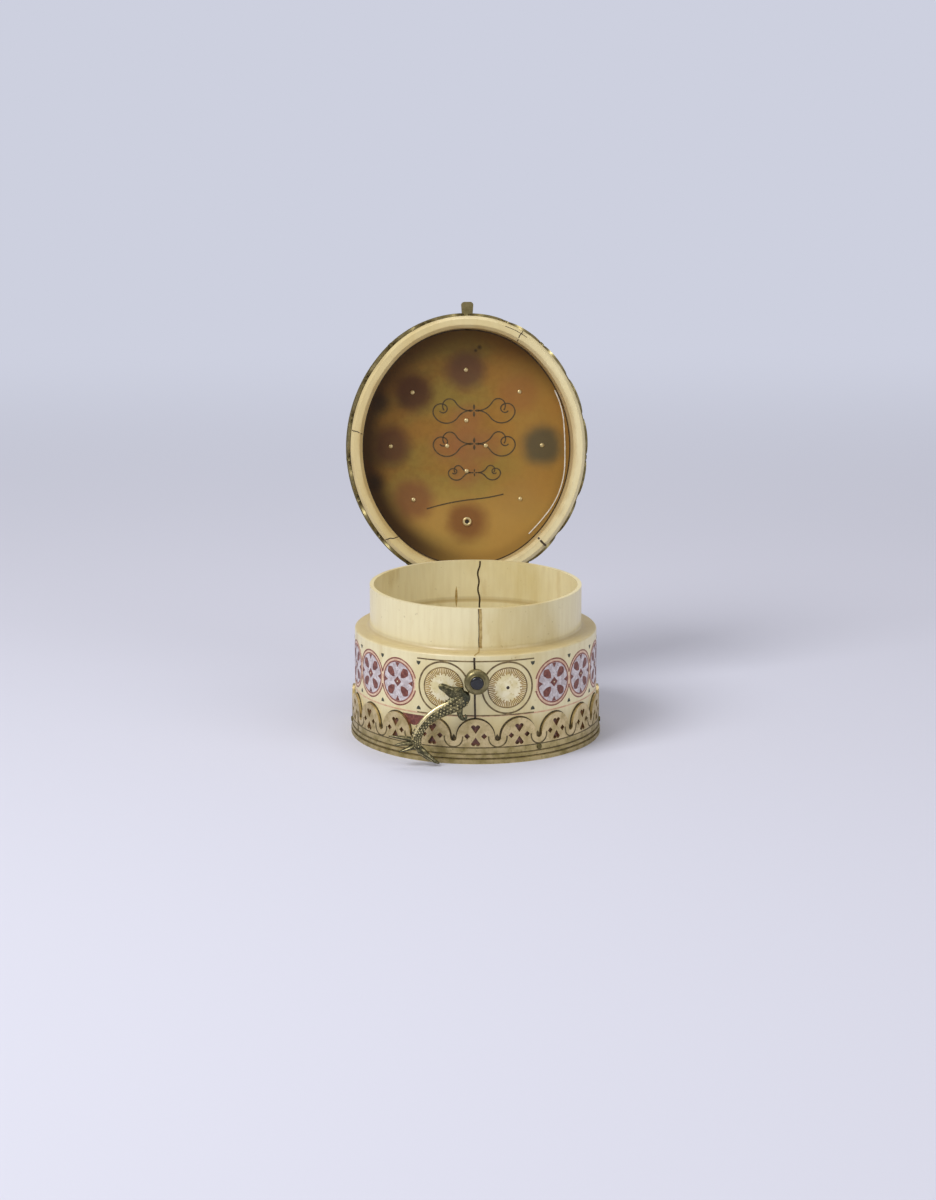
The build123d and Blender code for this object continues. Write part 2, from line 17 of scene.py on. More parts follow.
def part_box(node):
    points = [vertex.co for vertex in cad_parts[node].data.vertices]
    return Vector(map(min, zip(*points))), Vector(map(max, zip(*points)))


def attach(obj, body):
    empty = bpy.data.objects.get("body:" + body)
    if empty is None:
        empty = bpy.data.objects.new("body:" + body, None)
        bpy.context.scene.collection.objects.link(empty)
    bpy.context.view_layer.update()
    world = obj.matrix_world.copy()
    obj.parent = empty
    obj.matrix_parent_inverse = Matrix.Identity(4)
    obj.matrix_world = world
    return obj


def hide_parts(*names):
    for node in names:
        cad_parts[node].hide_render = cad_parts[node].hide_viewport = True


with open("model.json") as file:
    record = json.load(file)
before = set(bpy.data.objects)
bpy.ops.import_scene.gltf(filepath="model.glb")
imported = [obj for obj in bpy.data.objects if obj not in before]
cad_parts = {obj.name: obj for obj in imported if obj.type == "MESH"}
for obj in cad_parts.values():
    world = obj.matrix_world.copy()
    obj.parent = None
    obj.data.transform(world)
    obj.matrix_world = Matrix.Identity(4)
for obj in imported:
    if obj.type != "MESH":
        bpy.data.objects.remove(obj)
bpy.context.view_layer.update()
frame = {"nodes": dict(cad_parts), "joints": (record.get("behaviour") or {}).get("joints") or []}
mm = 0.001

# %% [markdown]
# ## Camera
# The photograph looks a little down at the box, from a little to one side, through a long
# lens. A long lens keeps upright lines nearly parallel, so its distance and angle matter
# more than its exact focal length. The aim point sits in the drum, and a small lens shift
# puts it where the photograph has it without tilting the camera.

# %% Camera
photo_width = 936
photo_height = 1200
aim = Vector((0, 0, 22 * mm))
aim_pixel = (475.6, 658.7)
camera_distance = 1.0
camera_height_angle = math.radians(13.05)
camera_side_angle = math.radians(-2.6)
focal_pixels = 3280
sensor = 36

toward_camera = Vector((
    math.sin(camera_side_angle) * math.cos(camera_height_angle),
    -math.cos(camera_side_angle) * math.cos(camera_height_angle),
    math.sin(camera_height_angle),
))
camera = bpy.data.objects.new("camera", bpy.data.cameras.new("camera"))
bpy.context.scene.collection.objects.link(camera)
bpy.context.scene.camera = camera
camera.location = aim + toward_camera * camera_distance
camera.rotation_mode = "QUATERNION"
camera.rotation_quaternion = (-toward_camera).to_track_quat("-Z", "Y")
camera.data.sensor_width = sensor
camera.data.lens = focal_pixels * sensor / photo_height
camera.data.shift_x = (photo_width / 2 - aim_pixel[0]) / photo_height
camera.data.shift_y = (aim_pixel[1] - photo_height / 2) / photo_height
camera.data.clip_start = 0.01
print("camera lens in mm:", round(camera.data.lens, 1))

# %% [markdown]
# ## Shader maths
# A procedural material is a small calculation: a distance, a step, a mix. Two short classes
# keep it readable. A `Value` wraps one output of a node, and adding or multiplying it adds
# the Math node. A `Finish` is one material, and its `node` method adds every other kind.

# %% Values and finishes
class Value:
    """One output of a node, which can be used in sums and products."""

    def __init__(self, finish, socket):
        self.finish = finish
        self.socket = socket

    def math(self, operation, *others):
        """Add a Math node that starts from this value."""
        return self.finish.node("ShaderNodeMath", {"operation": operation}, self, *others)

    def __add__(self, other):
        return self.math("ADD", other)

    def __sub__(self, other):
        return self.math("SUBTRACT", other)

    def __mul__(self, other):
        return self.math("MULTIPLY", other)

    def __truediv__(self, other):
        return self.math("DIVIDE", other)

    def __abs__(self):
        return self.math("ABSOLUTE")

    __radd__ = __add__
    __rmul__ = __mul__

    def least(self, other):
        """The smaller of two values."""
        return self.math("MINIMUM", other)

    def step(self, start, end, low=0.0, high=1.0):
        """Low before start, high after end, and a smooth rise between them."""
        settings = {"interpolation_type": "SMOOTHSTEP"}
        return self.finish.node("ShaderNodeMapRange", settings, self, start, end, low, high)


class Finish:
    """One material, built from its nodes."""

    def __init__(self, name, **constants):
        self.material = bpy.data.materials.new(name)
        self.material.use_nodes = True
        self.tree = self.material.node_tree
        self.shader = self.tree.nodes["Principled BSDF"]
        for socket, value in constants.items():
            self.shader.inputs[socket.replace("_", " ")].default_value = value

    def node(self, kind, settings, *inputs, output=0, **named):
        """Add a node of any kind: its settings first, then its sockets in order or by name.
        The output is given by its name, or by its place among those in use."""
        made = self.tree.nodes.new(kind)
        for setting, value in settings.items():
            setattr(made, setting, value)
        enabled = [socket for socket in made.inputs if socket.enabled]
        pairs = list(zip(enabled, inputs))
        pairs += [(made.inputs[name.replace("_", " ")], value) for name, value in named.items()]
        for socket, value in pairs:
            self.feed(socket, value)
        if isinstance(output, str):
            return Value(self, made.outputs[output])
        return Value(self, [socket for socket in made.outputs if socket.enabled][output])

    def feed(self, socket, value):
        """Link a Value to a socket, or set the socket to a plain number or colour."""
        if isinstance(value, Value):
            self.tree.links.new(value.socket, socket)
        elif value is not None:
            socket.default_value = value

    def set(self, socket, value):
        """Feed a socket of the main shader."""
        self.feed(self.shader.inputs[socket], value)

    def surface(self):
        """The main shader's own output."""
        return Value(self, self.shader.outputs[0])

    def finish_with(self, surface):
        """Use another shader in place of the main one."""
        self.tree.links.new(surface.socket, self.tree.nodes["Material Output"].inputs["Surface"])

    def place(self, point=None):
        """The point on the object, or another point, in metres, as x, y and z."""
        point = point or self.node("ShaderNodeTexCoord", {}, output="Object")
        return [self.node("ShaderNodeSeparateXYZ", {}, point, output=axis) for axis in range(3)]

    def clouds(self, size, detail=4.0, stretch=(1, 1, 1), seed=0.0):
        """Soft noise whose patches are about a given size, in metres, stretched along the axes."""
        point = self.node("ShaderNodeTexCoord", {}, output="Object")
        scale = tuple(1 / (size * part) for part in stretch)
        scaled = self.node("ShaderNodeVectorMath", {"operation": "MULTIPLY"}, point, scale)
        aside = (seed, seed, seed)
        shifted = self.node("ShaderNodeVectorMath", {"operation": "ADD"}, scaled, aside)
        return self.node("ShaderNodeTexNoise", {}, Vector=shifted, Scale=1.0, Detail=detail)

    def mix(self, share, first, second):
        """One colour laid over another by a share from 0 to 1."""
        return self.node("ShaderNodeMix", {"data_type": "RGBA"}, share, first, second)

    def bump(self, height, distance, strength=1.0):
        """Fine relief that the mesh doesn't have."""
        relief = {"Height": height, "Distance": distance, "Strength": strength}
        self.set("Normal", self.node("ShaderNodeBump", {}, **relief))


def linear(hex_colour):
    """A screen colour such as E5DDB5 as the linear colour that a shader works in."""
    parts = [int(hex_colour[start:start + 2], 16) / 255 for start in (0, 2, 4)]
    return tuple(
        part / 12.92 if part <= 0.04045 else ((part + 0.055) / 1.055) ** 2.4 for part in parts
    ) + (1.0,)


def finish_node(name, finish):
    """Give a CAD node its finish in place of the plain one."""
    slots = frame["nodes"][name].data.materials
    slots.clear()
    slots.append(finish.material)


print("cream in linear light:", [round(part, 3) for part in linear("E5DDB5")])

# %% [markdown]
# ## Floor
# A museum photograph uses a pale sweep of paper, here lavender grey, that curves up behind the
# object. A curved sheet would do, but it would stand in the way when the camera goes round the
# back. A flat floor that turns into an even glow further away looks the same. Light Path keeps
# the glow to what the camera, metal and glass see, so it adds no light to the box.

# %% Floor
paper = Finish("backdrop_paper", Roughness=0.9)
paper.set("Base Color", linear("D0D1DE"))
glow_start = 0.12
glow_rise = 0.75
far_back = (paper.place()[1] - glow_start).step(0.0, glow_rise)
seeing_rays = ("Is Camera Ray", "Is Glossy Ray", "Is Transmission Ray")
seen = sum(paper.node("ShaderNodeLightPath", {}, output=ray) for ray in seeing_rays).least(1.0)
glow = paper.node("ShaderNodeEmission", {}, linear("CDD0DF"), 1.0)
paper.finish_with(
    paper.node("ShaderNodeMixShader", {}, far_back * seen, paper.surface(), glow)
)

floor_size = 12.0
sheet = bmesh.new()
bmesh.ops.create_grid(sheet, x_segments=1, y_segments=1, size=floor_size)
floor_mesh = bpy.data.meshes.new("floor")
sheet.to_mesh(floor_mesh)
sheet.free()
floor_mesh.materials.append(paper.material)
floor = bpy.data.objects.new("floor", floor_mesh)
bpy.context.scene.collection.objects.link(floor)
print("floor reaches", floor_size, "m each way")

# %% [markdown]
# ## Light
# The lamps are large and soft, as in a studio. The brightest stands to the upper left, so the
# shadow falls softly to the right, a weak one on the right keeps the dark side readable, and
# one overhead shapes the rims. A grey world fills in from everywhere else.

# %% Lamps and world
def lamp(name, spot, target, size, watts):
    """A soft square lamp that points at a target."""
    light = bpy.data.lights.new(name, "AREA")
    light.size = size
    light.energy = watts
    made = bpy.data.objects.new(name, light)
    bpy.context.scene.collection.objects.link(made)
    made.location = spot
    made.rotation_mode = "QUATERNION"
    made.rotation_quaternion = (Vector(target) - Vector(spot)).to_track_quat("-Z", "Y")
    print(name, "gives", watts, "W")


lamp_target = (0, 0, 50 * mm)
lamp("key_lamp", (-0.55, -0.45, 0.75), lamp_target, 0.5, 7.0)
lamp("fill_lamp", (0.7, -0.6, 0.45), lamp_target, 0.6, 2.1)
lamp("top_lamp", (0.0, 0.35, 0.9), lamp_target, 0.5, 2.0)

world = bpy.data.worlds.new("studio")
bpy.context.scene.world = world
world.use_nodes = True
background = world.node_tree.nodes["Background"]
background.inputs["Color"].default_value = linear("DEDCE0")
background.inputs["Strength"].default_value = 0.5
bpy.context.scene.view_settings.view_transform = "Standard"
print("the world's strength:", background.inputs["Strength"].default_value)

# %% [markdown]
# ## Ivory
# Old ivory is cream with soft ochre clouds, a fine upright grain, and brown where hands and
# dirt have been. An image of it would stick to one object, so each of these is a layer of
# noise at its own size. The `ivory_tone` recipe is shared by the drum and the lid.

# %% The tone of the ivory
def ivory_tone(finish):
    """Cream with soft ochre clouds and fine upright grain."""
    stain = finish.clouds(0.02, 5.0, stretch=(1, 1, 1.8), seed=3.0).step(0.42, 0.72)
    ochre = finish.clouds(0.007, 4.0, stretch=(1, 1, 2.6), seed=21.0).step(0.56, 0.76)
    spots = finish.clouds(0.0014, 2.0, seed=33.0).step(0.68, 0.78)
    grain = finish.clouds(0.0012, 3.0, stretch=(1, 1, 9), seed=8.0).step(0.3, 0.8)
    cream = finish.mix(stain * 0.6, linear("E8DDB2"), linear("CDB874"))
    cream = finish.mix(ochre * 0.5, cream, linear("BC9F58"))
    cream = finish.mix(spots * 0.35, cream, linear("8E7238"))
    return finish.mix(grain * 0.14, cream, linear("B2934F"))


def near(value, middle, half, soft):
    """1 close to a middle value, falling softly to 0."""
    return abs(value - middle).step(half, half + soft, 1.0, 0.0)


print("cream runs from E8DDB2 to CDB874")

# %% [markdown]
# The drum's ivory is lighter inside, where no hand reached, and darker towards the foot.
# Painted shade darkens the upward face of the shoulder and the corner where the neck rises.
# So its layers are steered by the height of the point and by how far the point is from the middle.

# %% Ivory of the drum
shoulder_level = 32.5 * mm
cavity_squares = (0.00112, 0.00098)  # the squares of 33.5 mm and 31.3 mm
ivory = Finish("ivory", Roughness=0.34, Coat_Weight=0.15, Coat_Roughness=0.2)
across, deep, up = ivory.place()
# Painted shade: the upward face of the shoulder and the corner where the neck rises are darkened.
shoulder_shade = near(up, shoulder_level + 0.2 * mm, 0.2 * mm, 0.55 * mm)
corner = near(up, shoulder_level + 0.8 * mm, 0.2 * mm, 0.9 * mm)
inside = (across * across + deep * deep).step(*cavity_squares)
inside = inside * up.step(20 * mm, 34 * mm)
light_ivory = ivory.mix(inside * 0.35, ivory_tone(ivory), linear("F4E8BE"))
aged_and_shaded = ivory.mix(shoulder_shade * 0.62, light_ivory, linear("BFA974"))
aged_and_shaded = ivory.mix(corner * 0.3, aged_and_shaded, linear("9C8048"))
# Darker towards the foot.
darker_towards_foot = up.step(9 * mm, 16 * mm, 0.55, 0.0)
ivory.set("Base Color", ivory.mix(darker_towards_foot, aged_and_shaded, linear("B8A46C")))
ivory.bump(ivory.clouds(0.004, 4.0, seed=30.0), 0.12 * mm, 0.6)
for name in ("ivory_drum", "floor_disc"):
    finish_node(name, ivory)
print("ivory has", len(ivory.tree.nodes), "nodes")

# %% [markdown]
# ## Brass
# The mounts are gilt brass whose gilding has worn to dull brass in patches, with dirt in small
# specks. One recipe makes them all, and each mount gets its own three colours: the stud is
# dark, the lid's band is darker as painted shade for the dark line along the lid's edge, the
# gallery in front is the brightest, and the nails are darkest.

# %% Brass
def worn_brass(name, bright, dull, dirt_and_shade, roughness=0.36, dirty=0.4):
    """Gilding worn to dull brass in patches, with dirt in small specks."""
    made = Finish(name, Metallic=1.0)
    tarnish = made.clouds(0.003, 6.0, seed=1.0).step(0.35, 0.72)
    specks = made.clouds(0.0007, 3.0, seed=4.0).step(0.55, 0.75)
    worn = made.mix(tarnish * 0.8, linear(bright), linear(dull))
    made.set("Base Color", made.mix(specks * dirty, worn, linear(dirt_and_shade)))
    made.set("Roughness", tarnish * 0.15 + roughness)
    made.bump(made.clouds(0.0009, 4.0, seed=15.0), 0.08 * mm, 0.5)
    return made


brass = worn_brass("gilt_brass", "C6B482", "93854F", "5F5330")
gallery_brass = worn_brass("gallery_brass", "DCC898", "B09E6C", "6E5E3C")
dark_brass = worn_brass("tarnished_brass", "9A8F68", "5E583A", "33301E")
# A darker copy of the brass: painted shade for the dark line along the lid's edge.
shaded_lid_brass = worn_brass("shaded_lid_brass", "A89B70", "6F6744", "3E3924")
nail_brass = worn_brass("nail_brass", "7A7048", "453F28", "241F12")
brass_nodes = (
    (brass, ("foot_moulding", "hinge_lower_leaf", "hinge_pin", "panel_bezel", "hinge_upper_leaf")),
    (gallery_brass, ("base_gallery",)),
    (dark_brass, ("stud_post", "stud_collar")),
    (shaded_lid_brass, ("lid_moulding", "lid_gallery", "catch_peg", "lid_pins")),
    (nail_brass, ("base_nails", "lid_nails", "hinge_lower_rivets", "hinge_upper_rivets")),
)
for finish, names in brass_nodes:
    for name in names:
        finish_node(name, finish)
print("brass finishes:", [finish.material.name for finish, names in brass_nodes])

# %% [markdown]
# ## Inlays, foils and stone
# The roundels are slices of stained ivory or mother-of-pearl, with foils of stained metal
# behind the piercings. Each is a colour that drifts between two shades, with flecks of a
# third. A table holds their colours, so that they can be compared side by side.

# %% Inlays, foils and stone
def mottled(name, first, second, size, roughness=0.35, fleck=None):
    """A polished inlay with soft patches, and flecks where it has them."""
    made = Finish(name, Roughness=roughness, Coat_Weight=0.2, Coat_Roughness=0.2)
    patches = made.clouds(size, 4.0, seed=6.0).step(0.35, 0.65)
    colour = made.mix(patches, linear(first), linear(second))
    if fleck:
        flecks = made.clouds(size * 0.35, 3.0, seed=17.0).step(0.56, 0.68)
        colour = made.mix(flecks * 0.7, colour, linear(fleck))
    made.set("Base Color", colour)
    return made


inlays = {
    "base_foils": ("74463A", "503028", 1.2 * mm, 0.5, "8C6A48"),
    "lid_foils": ("74463A", "503028", 1.2 * mm, 0.5, "8C6A48"),
    "sunburst_discs": ("EEE4C0", "DED09C", 2.5 * mm, 0.3, "CDB97E"),
    "sunburst_pins": ("3A2A18", "20160C", 0.5 * mm, 0.4, None),
    "cross_discs": ("D4CDCF", "B5A9AA", 1.4 * mm, 0.3, "948588"),
    "cross_rings": ("E2C4A8", "D2A88C", 1.4 * mm, 0.35, "C49478"),
    "lid_roundels": ("5A3A34", "7C5446", 2.0 * mm, 0.35, "3C2822"),
    "lid_rosette": ("7A4A3C", "97664E", 2.0 * mm, 0.35, "5A382C"),
    "stud_cabochon": ("0E0F12", "1C1D22", 1.0 * mm, 0.15, None),
}
for name, (first, second, size, roughness, fleck) in inlays.items():
    finish_node(name, mottled(name, first, second, size, roughness, fleck))
print("inlay finishes:", len(inlays))

# %% [markdown]
# ## Places on an oval wall
# The box isn't round but a soft oval of four arcs: two tight ones at front and back, two wide
# ones at the sides. Ornament on it is easiest to draw flat, as on a strip of paper, and then
# to wrap: sideways on the paper becomes a distance along the wall from the front.
# The lid's ornament is placed on the closed lid, then swung open with it.

# %% Wall
class Wall:
    """An upright oval wall of four arcs."""

    def __init__(self, half_across, half_deep):
        self.end_radius = half_deep - arc_centre
        self.side_radius = half_across + arc_centre
        self.length = math.pi * (self.end_radius + self.side_radius)

    def grown(self, by):
        """The wall that stands outside this one by the same width all round."""
        return Wall(self.side_radius - arc_centre + by, self.end_radius + arc_centre + by)

    def place(self, distance, level, out):
        """The point at a distance to the right of the front, a height, and a stand-off."""
        along = distance % self.length
        side = 1
        if along > self.length / 2:
            along = self.length - along
            side = -1
        first_joint = self.end_radius * math.pi / 4
        second_joint = first_joint + self.side_radius * math.pi / 2
        centre = Vector((0, -arc_centre))
        radius = self.end_radius
        turn = along / radius
        if along > second_joint:
            centre = Vector((0, arc_centre))
            turn = math.pi * 3 / 4 + (along - second_joint) / radius
        elif along > first_joint:
            centre = Vector((-arc_centre, 0))
            radius = self.side_radius
            turn = math.pi / 4 + (along - first_joint) / radius
        touch = centre + Vector((math.sin(turn), -math.cos(turn))) * (radius + out)
        return Vector((side * touch.x, touch.y, level))


drum_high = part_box("ivory_drum")[1]
arc_centre = (drum_high.y - drum_high.x) * (1 + math.sqrt(0.5))
drum_wall = Wall(drum_high.x, drum_high.y)

lid_joint = next(joint for joint in frame["joints"] if joint["name"] == "lid_hinge")
hinge_spot = Vector(lid_joint["pos_m"])
open_angle = math.radians(lid_joint["range_deg"][1])
swing_open = (
    Matrix.Translation(hinge_spot)
    @ Matrix.Rotation(-open_angle, 4, "X")
    @ Matrix.Translation(-hinge_spot)
)
swing_shut = swing_open.inverted()
print("all round the drum in mm:", round(drum_wall.length / mm, 1))

# %% [markdown]
# ## Drawing with a burin
# An engraver pushes a burin forward and swings the work under it. `Burin` does the same with
# a short edge: `go` extrudes it forward, and `turn` spins it round a centre, which leaves a
# strip of the line's width behind. The strips are then thickened and wrapped. They stand a
# few hundredths of a millimetre proud, which is enough to be seen and too little to feel.

# %% Burin
class Burin:
    """Draws one line of even width on a flat sheet."""

    def __init__(self, sheet, across, up, heading, width):
        self.sheet = sheet
        self.heading = math.radians(heading)
        side = Vector((-math.sin(self.heading), math.cos(self.heading), 0)) * width / 2
        middle = Vector((across, up, 0))
        ends = [sheet.verts.new(middle + side), sheet.verts.new(middle - side)]
        self.edge = sheet.edges.new(ends)

    def go(self, length, longest=1.5 * mm):
        """Carry the line straight on."""
        steps = max(1, math.ceil(length / longest))
        ahead = Vector((math.cos(self.heading), math.sin(self.heading), 0)) * length / steps
        for step in range(steps):
            made = bmesh.ops.extrude_edge_only(self.sheet, edges=[self.edge])["geom"]
            corners = [part for part in made if isinstance(part, bmesh.types.BMVert)]
            bmesh.ops.translate(self.sheet, verts=corners, vec=ahead)
            self.edge = next(
                part for part in made
                if isinstance(part, bmesh.types.BMEdge) and set(part.verts) == set(corners)
            )
        return self

    def turn(self, radius, degrees, longest=0.7 * mm):
        """Swing the line round: to the left for plus degrees, to the right for minus."""
        angle = math.radians(degrees)
        side = math.copysign(1, degrees)
        left = Vector((-math.sin(self.heading), math.cos(self.heading), 0))
        middle = (self.edge.verts[0].co + self.edge.verts[1].co) / 2
        made = bmesh.ops.spin(
            self.sheet, geom=[self.edge, *self.edge.verts], cent=middle + left * radius * side,
            axis=(0, 0, 1), angle=angle, steps=max(2, math.ceil(abs(angle) * radius / longest)),
        )["geom_last"]
        self.edge = next(part for part in made if isinstance(part, bmesh.types.BMEdge))
        self.heading += angle
        return self


def draw_ring(sheet, radius, width):
    """A whole circle drawn with the burin, round the middle of the sheet."""
    Burin(sheet, 0, -radius, 0, width).turn(radius, 360)


trial = bmesh.new()
Burin(trial, 0, 0, 0, 0.4 * mm).turn(5 * mm, 90)
print("a quarter turn leaves", len(trial.faces), "faces")
trial.free()

# %% [markdown]
# A drawing becomes a piece in steps: it is thickened, bent round its wall, joined with its
# neighbours into one mesh, swung open if it belongs to the lid, and tied to the body it rides
# on. One object for a whole row of marks keeps the scene small.

# %% From a flat drawing to a piece
mark_height = 0.05 * mm
mark_sunk = 0.04 * mm


def thicken(sheet, height, sunk):
    """Turn a flat drawing into a thin closed plate, from a little below to a height above."""
    bmesh.ops.remove_doubles(sheet, verts=sheet.verts, dist=0.001 * mm)
    made = bmesh.ops.extrude_face_region(sheet, geom=sheet.faces[:], use_keep_orig=True)["geom"]
    raised = [part for part in made if isinstance(part, bmesh.types.BMVert)]
    bmesh.ops.translate(sheet, verts=sheet.verts, vec=(0, 0, -sunk))
    bmesh.ops.translate(sheet, verts=raised, vec=(0, 0, height + sunk))
    bmesh.ops.recalc_face_normals(sheet, faces=sheet.faces)


def wrap(sheet, wall, distance, level):
    """Bend a flat drawing round a wall."""
    for corner in sheet.verts:
        corner.co = wall.place(distance + corner.co.x, level + corner.co.y, corner.co.z)


def join_into(whole, part):
    """Add one bmesh to another."""
    carrier = bpy.data.meshes.new("carrier")
    part.to_mesh(carrier)
    whole.from_mesh(carrier)
    bpy.data.meshes.remove(carrier)
    part.free()


def piece(name, shape, body, finish, smooth=False, lid=False):
    """Make an object of a bmesh, and let it ride on a body of the box."""
    if lid:
        bmesh.ops.transform(shape, matrix=swing_open, verts=shape.verts)
    bmesh.ops.recalc_face_normals(shape, faces=shape.faces)
    mesh = bpy.data.meshes.new(name)
    shape.to_mesh(mesh)
    shape.free()
    if smooth:
        mesh.shade_smooth()
    mesh.materials.append(finish.material)
    made = bpy.data.objects.new(name, mesh)
    bpy.context.scene.collection.objects.link(made)
    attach(made, body)
    print(name, "has", len(mesh.polygons), "faces")
    return made


print("a mark stands", round(mark_height / mm, 3), "mm proud of its wall")

# %% [markdown]
# Petals, notches and drops are all leaves: two arcs that meet in a point at each end. Each arc
# is one corner spun round a centre off to the side. Leaves are turned to their places, and
# where half of one is needed a cut takes the rest away.

# %% Leaves, turns and cuts
def pointed_leaf(sheet, length, width, steps=8):
    """A flat leaf with a point at each end, its middle at the origin and its length upwards."""
    radius = (length**2 + width**2) / (4 * width)
    half_turn = math.asin(length / 2 / radius)
    for side in (-1, 1):
        tip = sheet.verts.new((0, -length / 2, 0))
        bmesh.ops.spin(
            sheet, geom=[tip], cent=(side * (width / 2 - radius), 0, 0), axis=(0, 0, 1),
            angle=side * 2 * half_turn, steps=steps,
        )
    bmesh.ops.remove_doubles(sheet, verts=sheet.verts, dist=0.001 * mm)
    bmesh.ops.contextual_create(sheet, geom=sheet.edges[:])


def turned_about(sheet, degrees):
    """Turn a flat drawing about the middle of its sheet."""
    turn = Matrix.Rotation(math.radians(degrees), 3, "Z")
    bmesh.ops.rotate(sheet, verts=sheet.verts, cent=(0, 0, 0), matrix=turn)


def cut_across(sheet, spot, outwards, clear=False):
    """Cut a flat drawing along a line, and clear what lies outwards of it if asked."""
    bmesh.ops.bisect_plane(
        sheet, geom=sheet.verts[:] + sheet.edges[:] + sheet.faces[:],
        plane_co=spot, plane_no=outwards, clear_outer=clear,
    )


trial = bmesh.new()
pointed_leaf(trial, 4 * mm, 2 * mm)
print("a leaf has", len(trial.verts), "corners")
trial.free()

# %% [markdown]
# ## Inlaid roundels
# A band of round inlays runs round the drum. Two pale sunbursts flank the stud, with fine
# radial cuts near their rims. The rest are violet discs with four red petals and a lozenge,
# each inside a pink ring and two engraved outlines. The colours here are pastes rubbed into
# cuts, so every mark is drawn flat, thickened a little and wrapped round the wall.

# %% Finishes of the drawn marks
def paste(name, first, second, size=1.5 * mm, roughness=0.45):
    """A coloured paste whose shade varies a little from place to place."""
    made = Finish(name, Roughness=roughness)
    patches = made.clouds(size, 3.0, seed=5.0).step(0.35, 0.7)
    made.set("Base Color", made.mix(patches, linear(first), linear(second)))
    return made


red_paste = paste("red_brown_paste", "64322A", "874E40", 0.9 * mm)
red_line = paste("red_brown_line", "7C4034", "A06C5A")
gold_line = paste("gold_brown_line", "8A6824", "B08A38")
soft_line = paste("soft_brown_line", "5C4A2A", "8A764A")
green_black = paste("green_black_paste", "2E3428", "4C4A36")
pastes = (red_paste, red_line, gold_line, soft_line, green_black)
print("pastes:", [finish.material.name for finish in pastes])

# %% Where the roundels are
sunburst_low, sunburst_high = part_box("sunburst_discs")
roundel_level = (sunburst_low.z + sunburst_high.z) / 2
roundel_shift = -1.9 * mm
sunburst_offset = 9.65 * mm
sunburst_radius = (sunburst_high.z - sunburst_low.z) / 2
ring_low, ring_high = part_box("cross_rings")
cross_radius = (ring_high.z - ring_low.z) / 2
crosses_each_side = 7
first_cross_offset = 25.5 * mm
last_cross_to_back = 15.1 * mm
cross_pitch = (
    drum_wall.length / 2 - first_cross_offset - last_cross_to_back
) / (crosses_each_side - 1)
cross_ring_width = 0.7 * mm
sunburst_spots = [roundel_shift + side * sunburst_offset for side in (-1, 1)]
cross_spots = [
    roundel_shift + side * (first_cross_offset + number * cross_pitch)
    for side in (-1, 1)
    for number in range(crosses_each_side)
]
print("roundels at", round(roundel_level / mm, 2), "mm")
print("cross radius", round(cross_radius / mm, 2), "mm")


def drawn_round(draw, spots, height=mark_height):
    """The same flat drawing at several places round the drum, as one bmesh."""
    whole = bmesh.new()
    for spot in spots:
        sheet = bmesh.new()
        draw(sheet)
        thicken(sheet, height, mark_sunk)
        wrap(sheet, drum_wall, spot, roundel_level)
        join_into(whole, sheet)
    return whole


# %% [markdown]
# The four petals of a violet disc lie on its diagonals. Each is a leaf with two points whose
# outer half is made wider and shorter, so one leaf is drawn and turned four times. The
# lozenge between them is a circle of only four segments, and the small triangles just inside
# the ring are circles of three.

# %% Petals and lozenges
petal_length = 4.3 * mm
petal_width = 2.4 * mm
petal_reach = 4.0 * mm
lozenge = 3.0 * mm


def draw_petals(sheet):
    """Four petals and the lozenge between them."""
    for quarter in range(4):
        leaf = bmesh.new()
        pointed_leaf(leaf, petal_length, petal_width)
        widest = [corner for corner in leaf.verts if corner.co.y > 0]
        bmesh.ops.scale(leaf, verts=widest, vec=(1.2, 0.72, 1))
        bmesh.ops.translate(leaf, verts=leaf.verts, vec=(0, petal_reach, 0))
        turned_about(leaf, 45 + 90 * quarter)
        join_into(sheet, leaf)
    centre = bmesh.new()
    bmesh.ops.create_circle(centre, cap_ends=True, segments=4, radius=lozenge / 2)
    join_into(sheet, centre)


piece("cross_petals", drawn_round(draw_petals, cross_spots), "root", red_paste)

# %% Small marks at the top, bottom and sides of each disc
small_mark_radius = 0.95 * mm
small_mark_inset = 1.5 * mm


def draw_small_marks(sheet):
    """Four small triangles just inside the ring."""
    for quarter in range(4):
        mark = bmesh.new()
        bmesh.ops.create_circle(mark, cap_ends=True, segments=3, radius=small_mark_radius)
        inwards = -(cross_radius - small_mark_inset)
        bmesh.ops.translate(mark, verts=mark.verts, vec=(0, inwards, 0))
        turned_about(mark, 90 * quarter)
        join_into(sheet, mark)


small_marks = drawn_round(draw_small_marks, cross_spots)
piece("cross_small_marks", small_marks, "root", red_paste)

# %% [markdown]
# The pink ring lies between two engraved lines. The inner one is a whole circle. The outer one
# is two arcs with short gaps, because a hand that cuts a circle stops and starts again. A
# pale dot, which stands a little higher than the lozenge, marks the middle of each disc.

# %% Outlines of the cross roundels
outer_outline = cross_radius + 0.3 * mm
outline_arc = 150


def draw_cross_outlines(sheet):
    """The line inside the ring, and two arcs outside it."""
    draw_ring(sheet, cross_radius - cross_ring_width, 0.4 * mm)
    for start in (15, -165):
        turn = math.radians(start)
        spot = Vector((math.cos(turn), math.sin(turn))) * outer_outline
        line = Burin(sheet, spot.x, spot.y, start + 90, 0.42 * mm)
        line.turn(outer_outline, outline_arc)


cross_outlines = drawn_round(draw_cross_outlines, cross_spots)
piece("cross_outlines", cross_outlines, "root", red_line)

# %% Pale dots in the lozenges
dot_radius = 0.24 * mm


def draw_dot(sheet):
    """A small round dot in the middle."""
    bmesh.ops.create_circle(sheet, cap_ends=True, segments=10, radius=dot_radius)


pale_paste = paste("pale_paste", "D9CDB0", "C9B890")
dots = drawn_round(draw_dot, cross_spots, height=2 * mark_height)
piece("cross_dots", dots, "root", pale_paste)

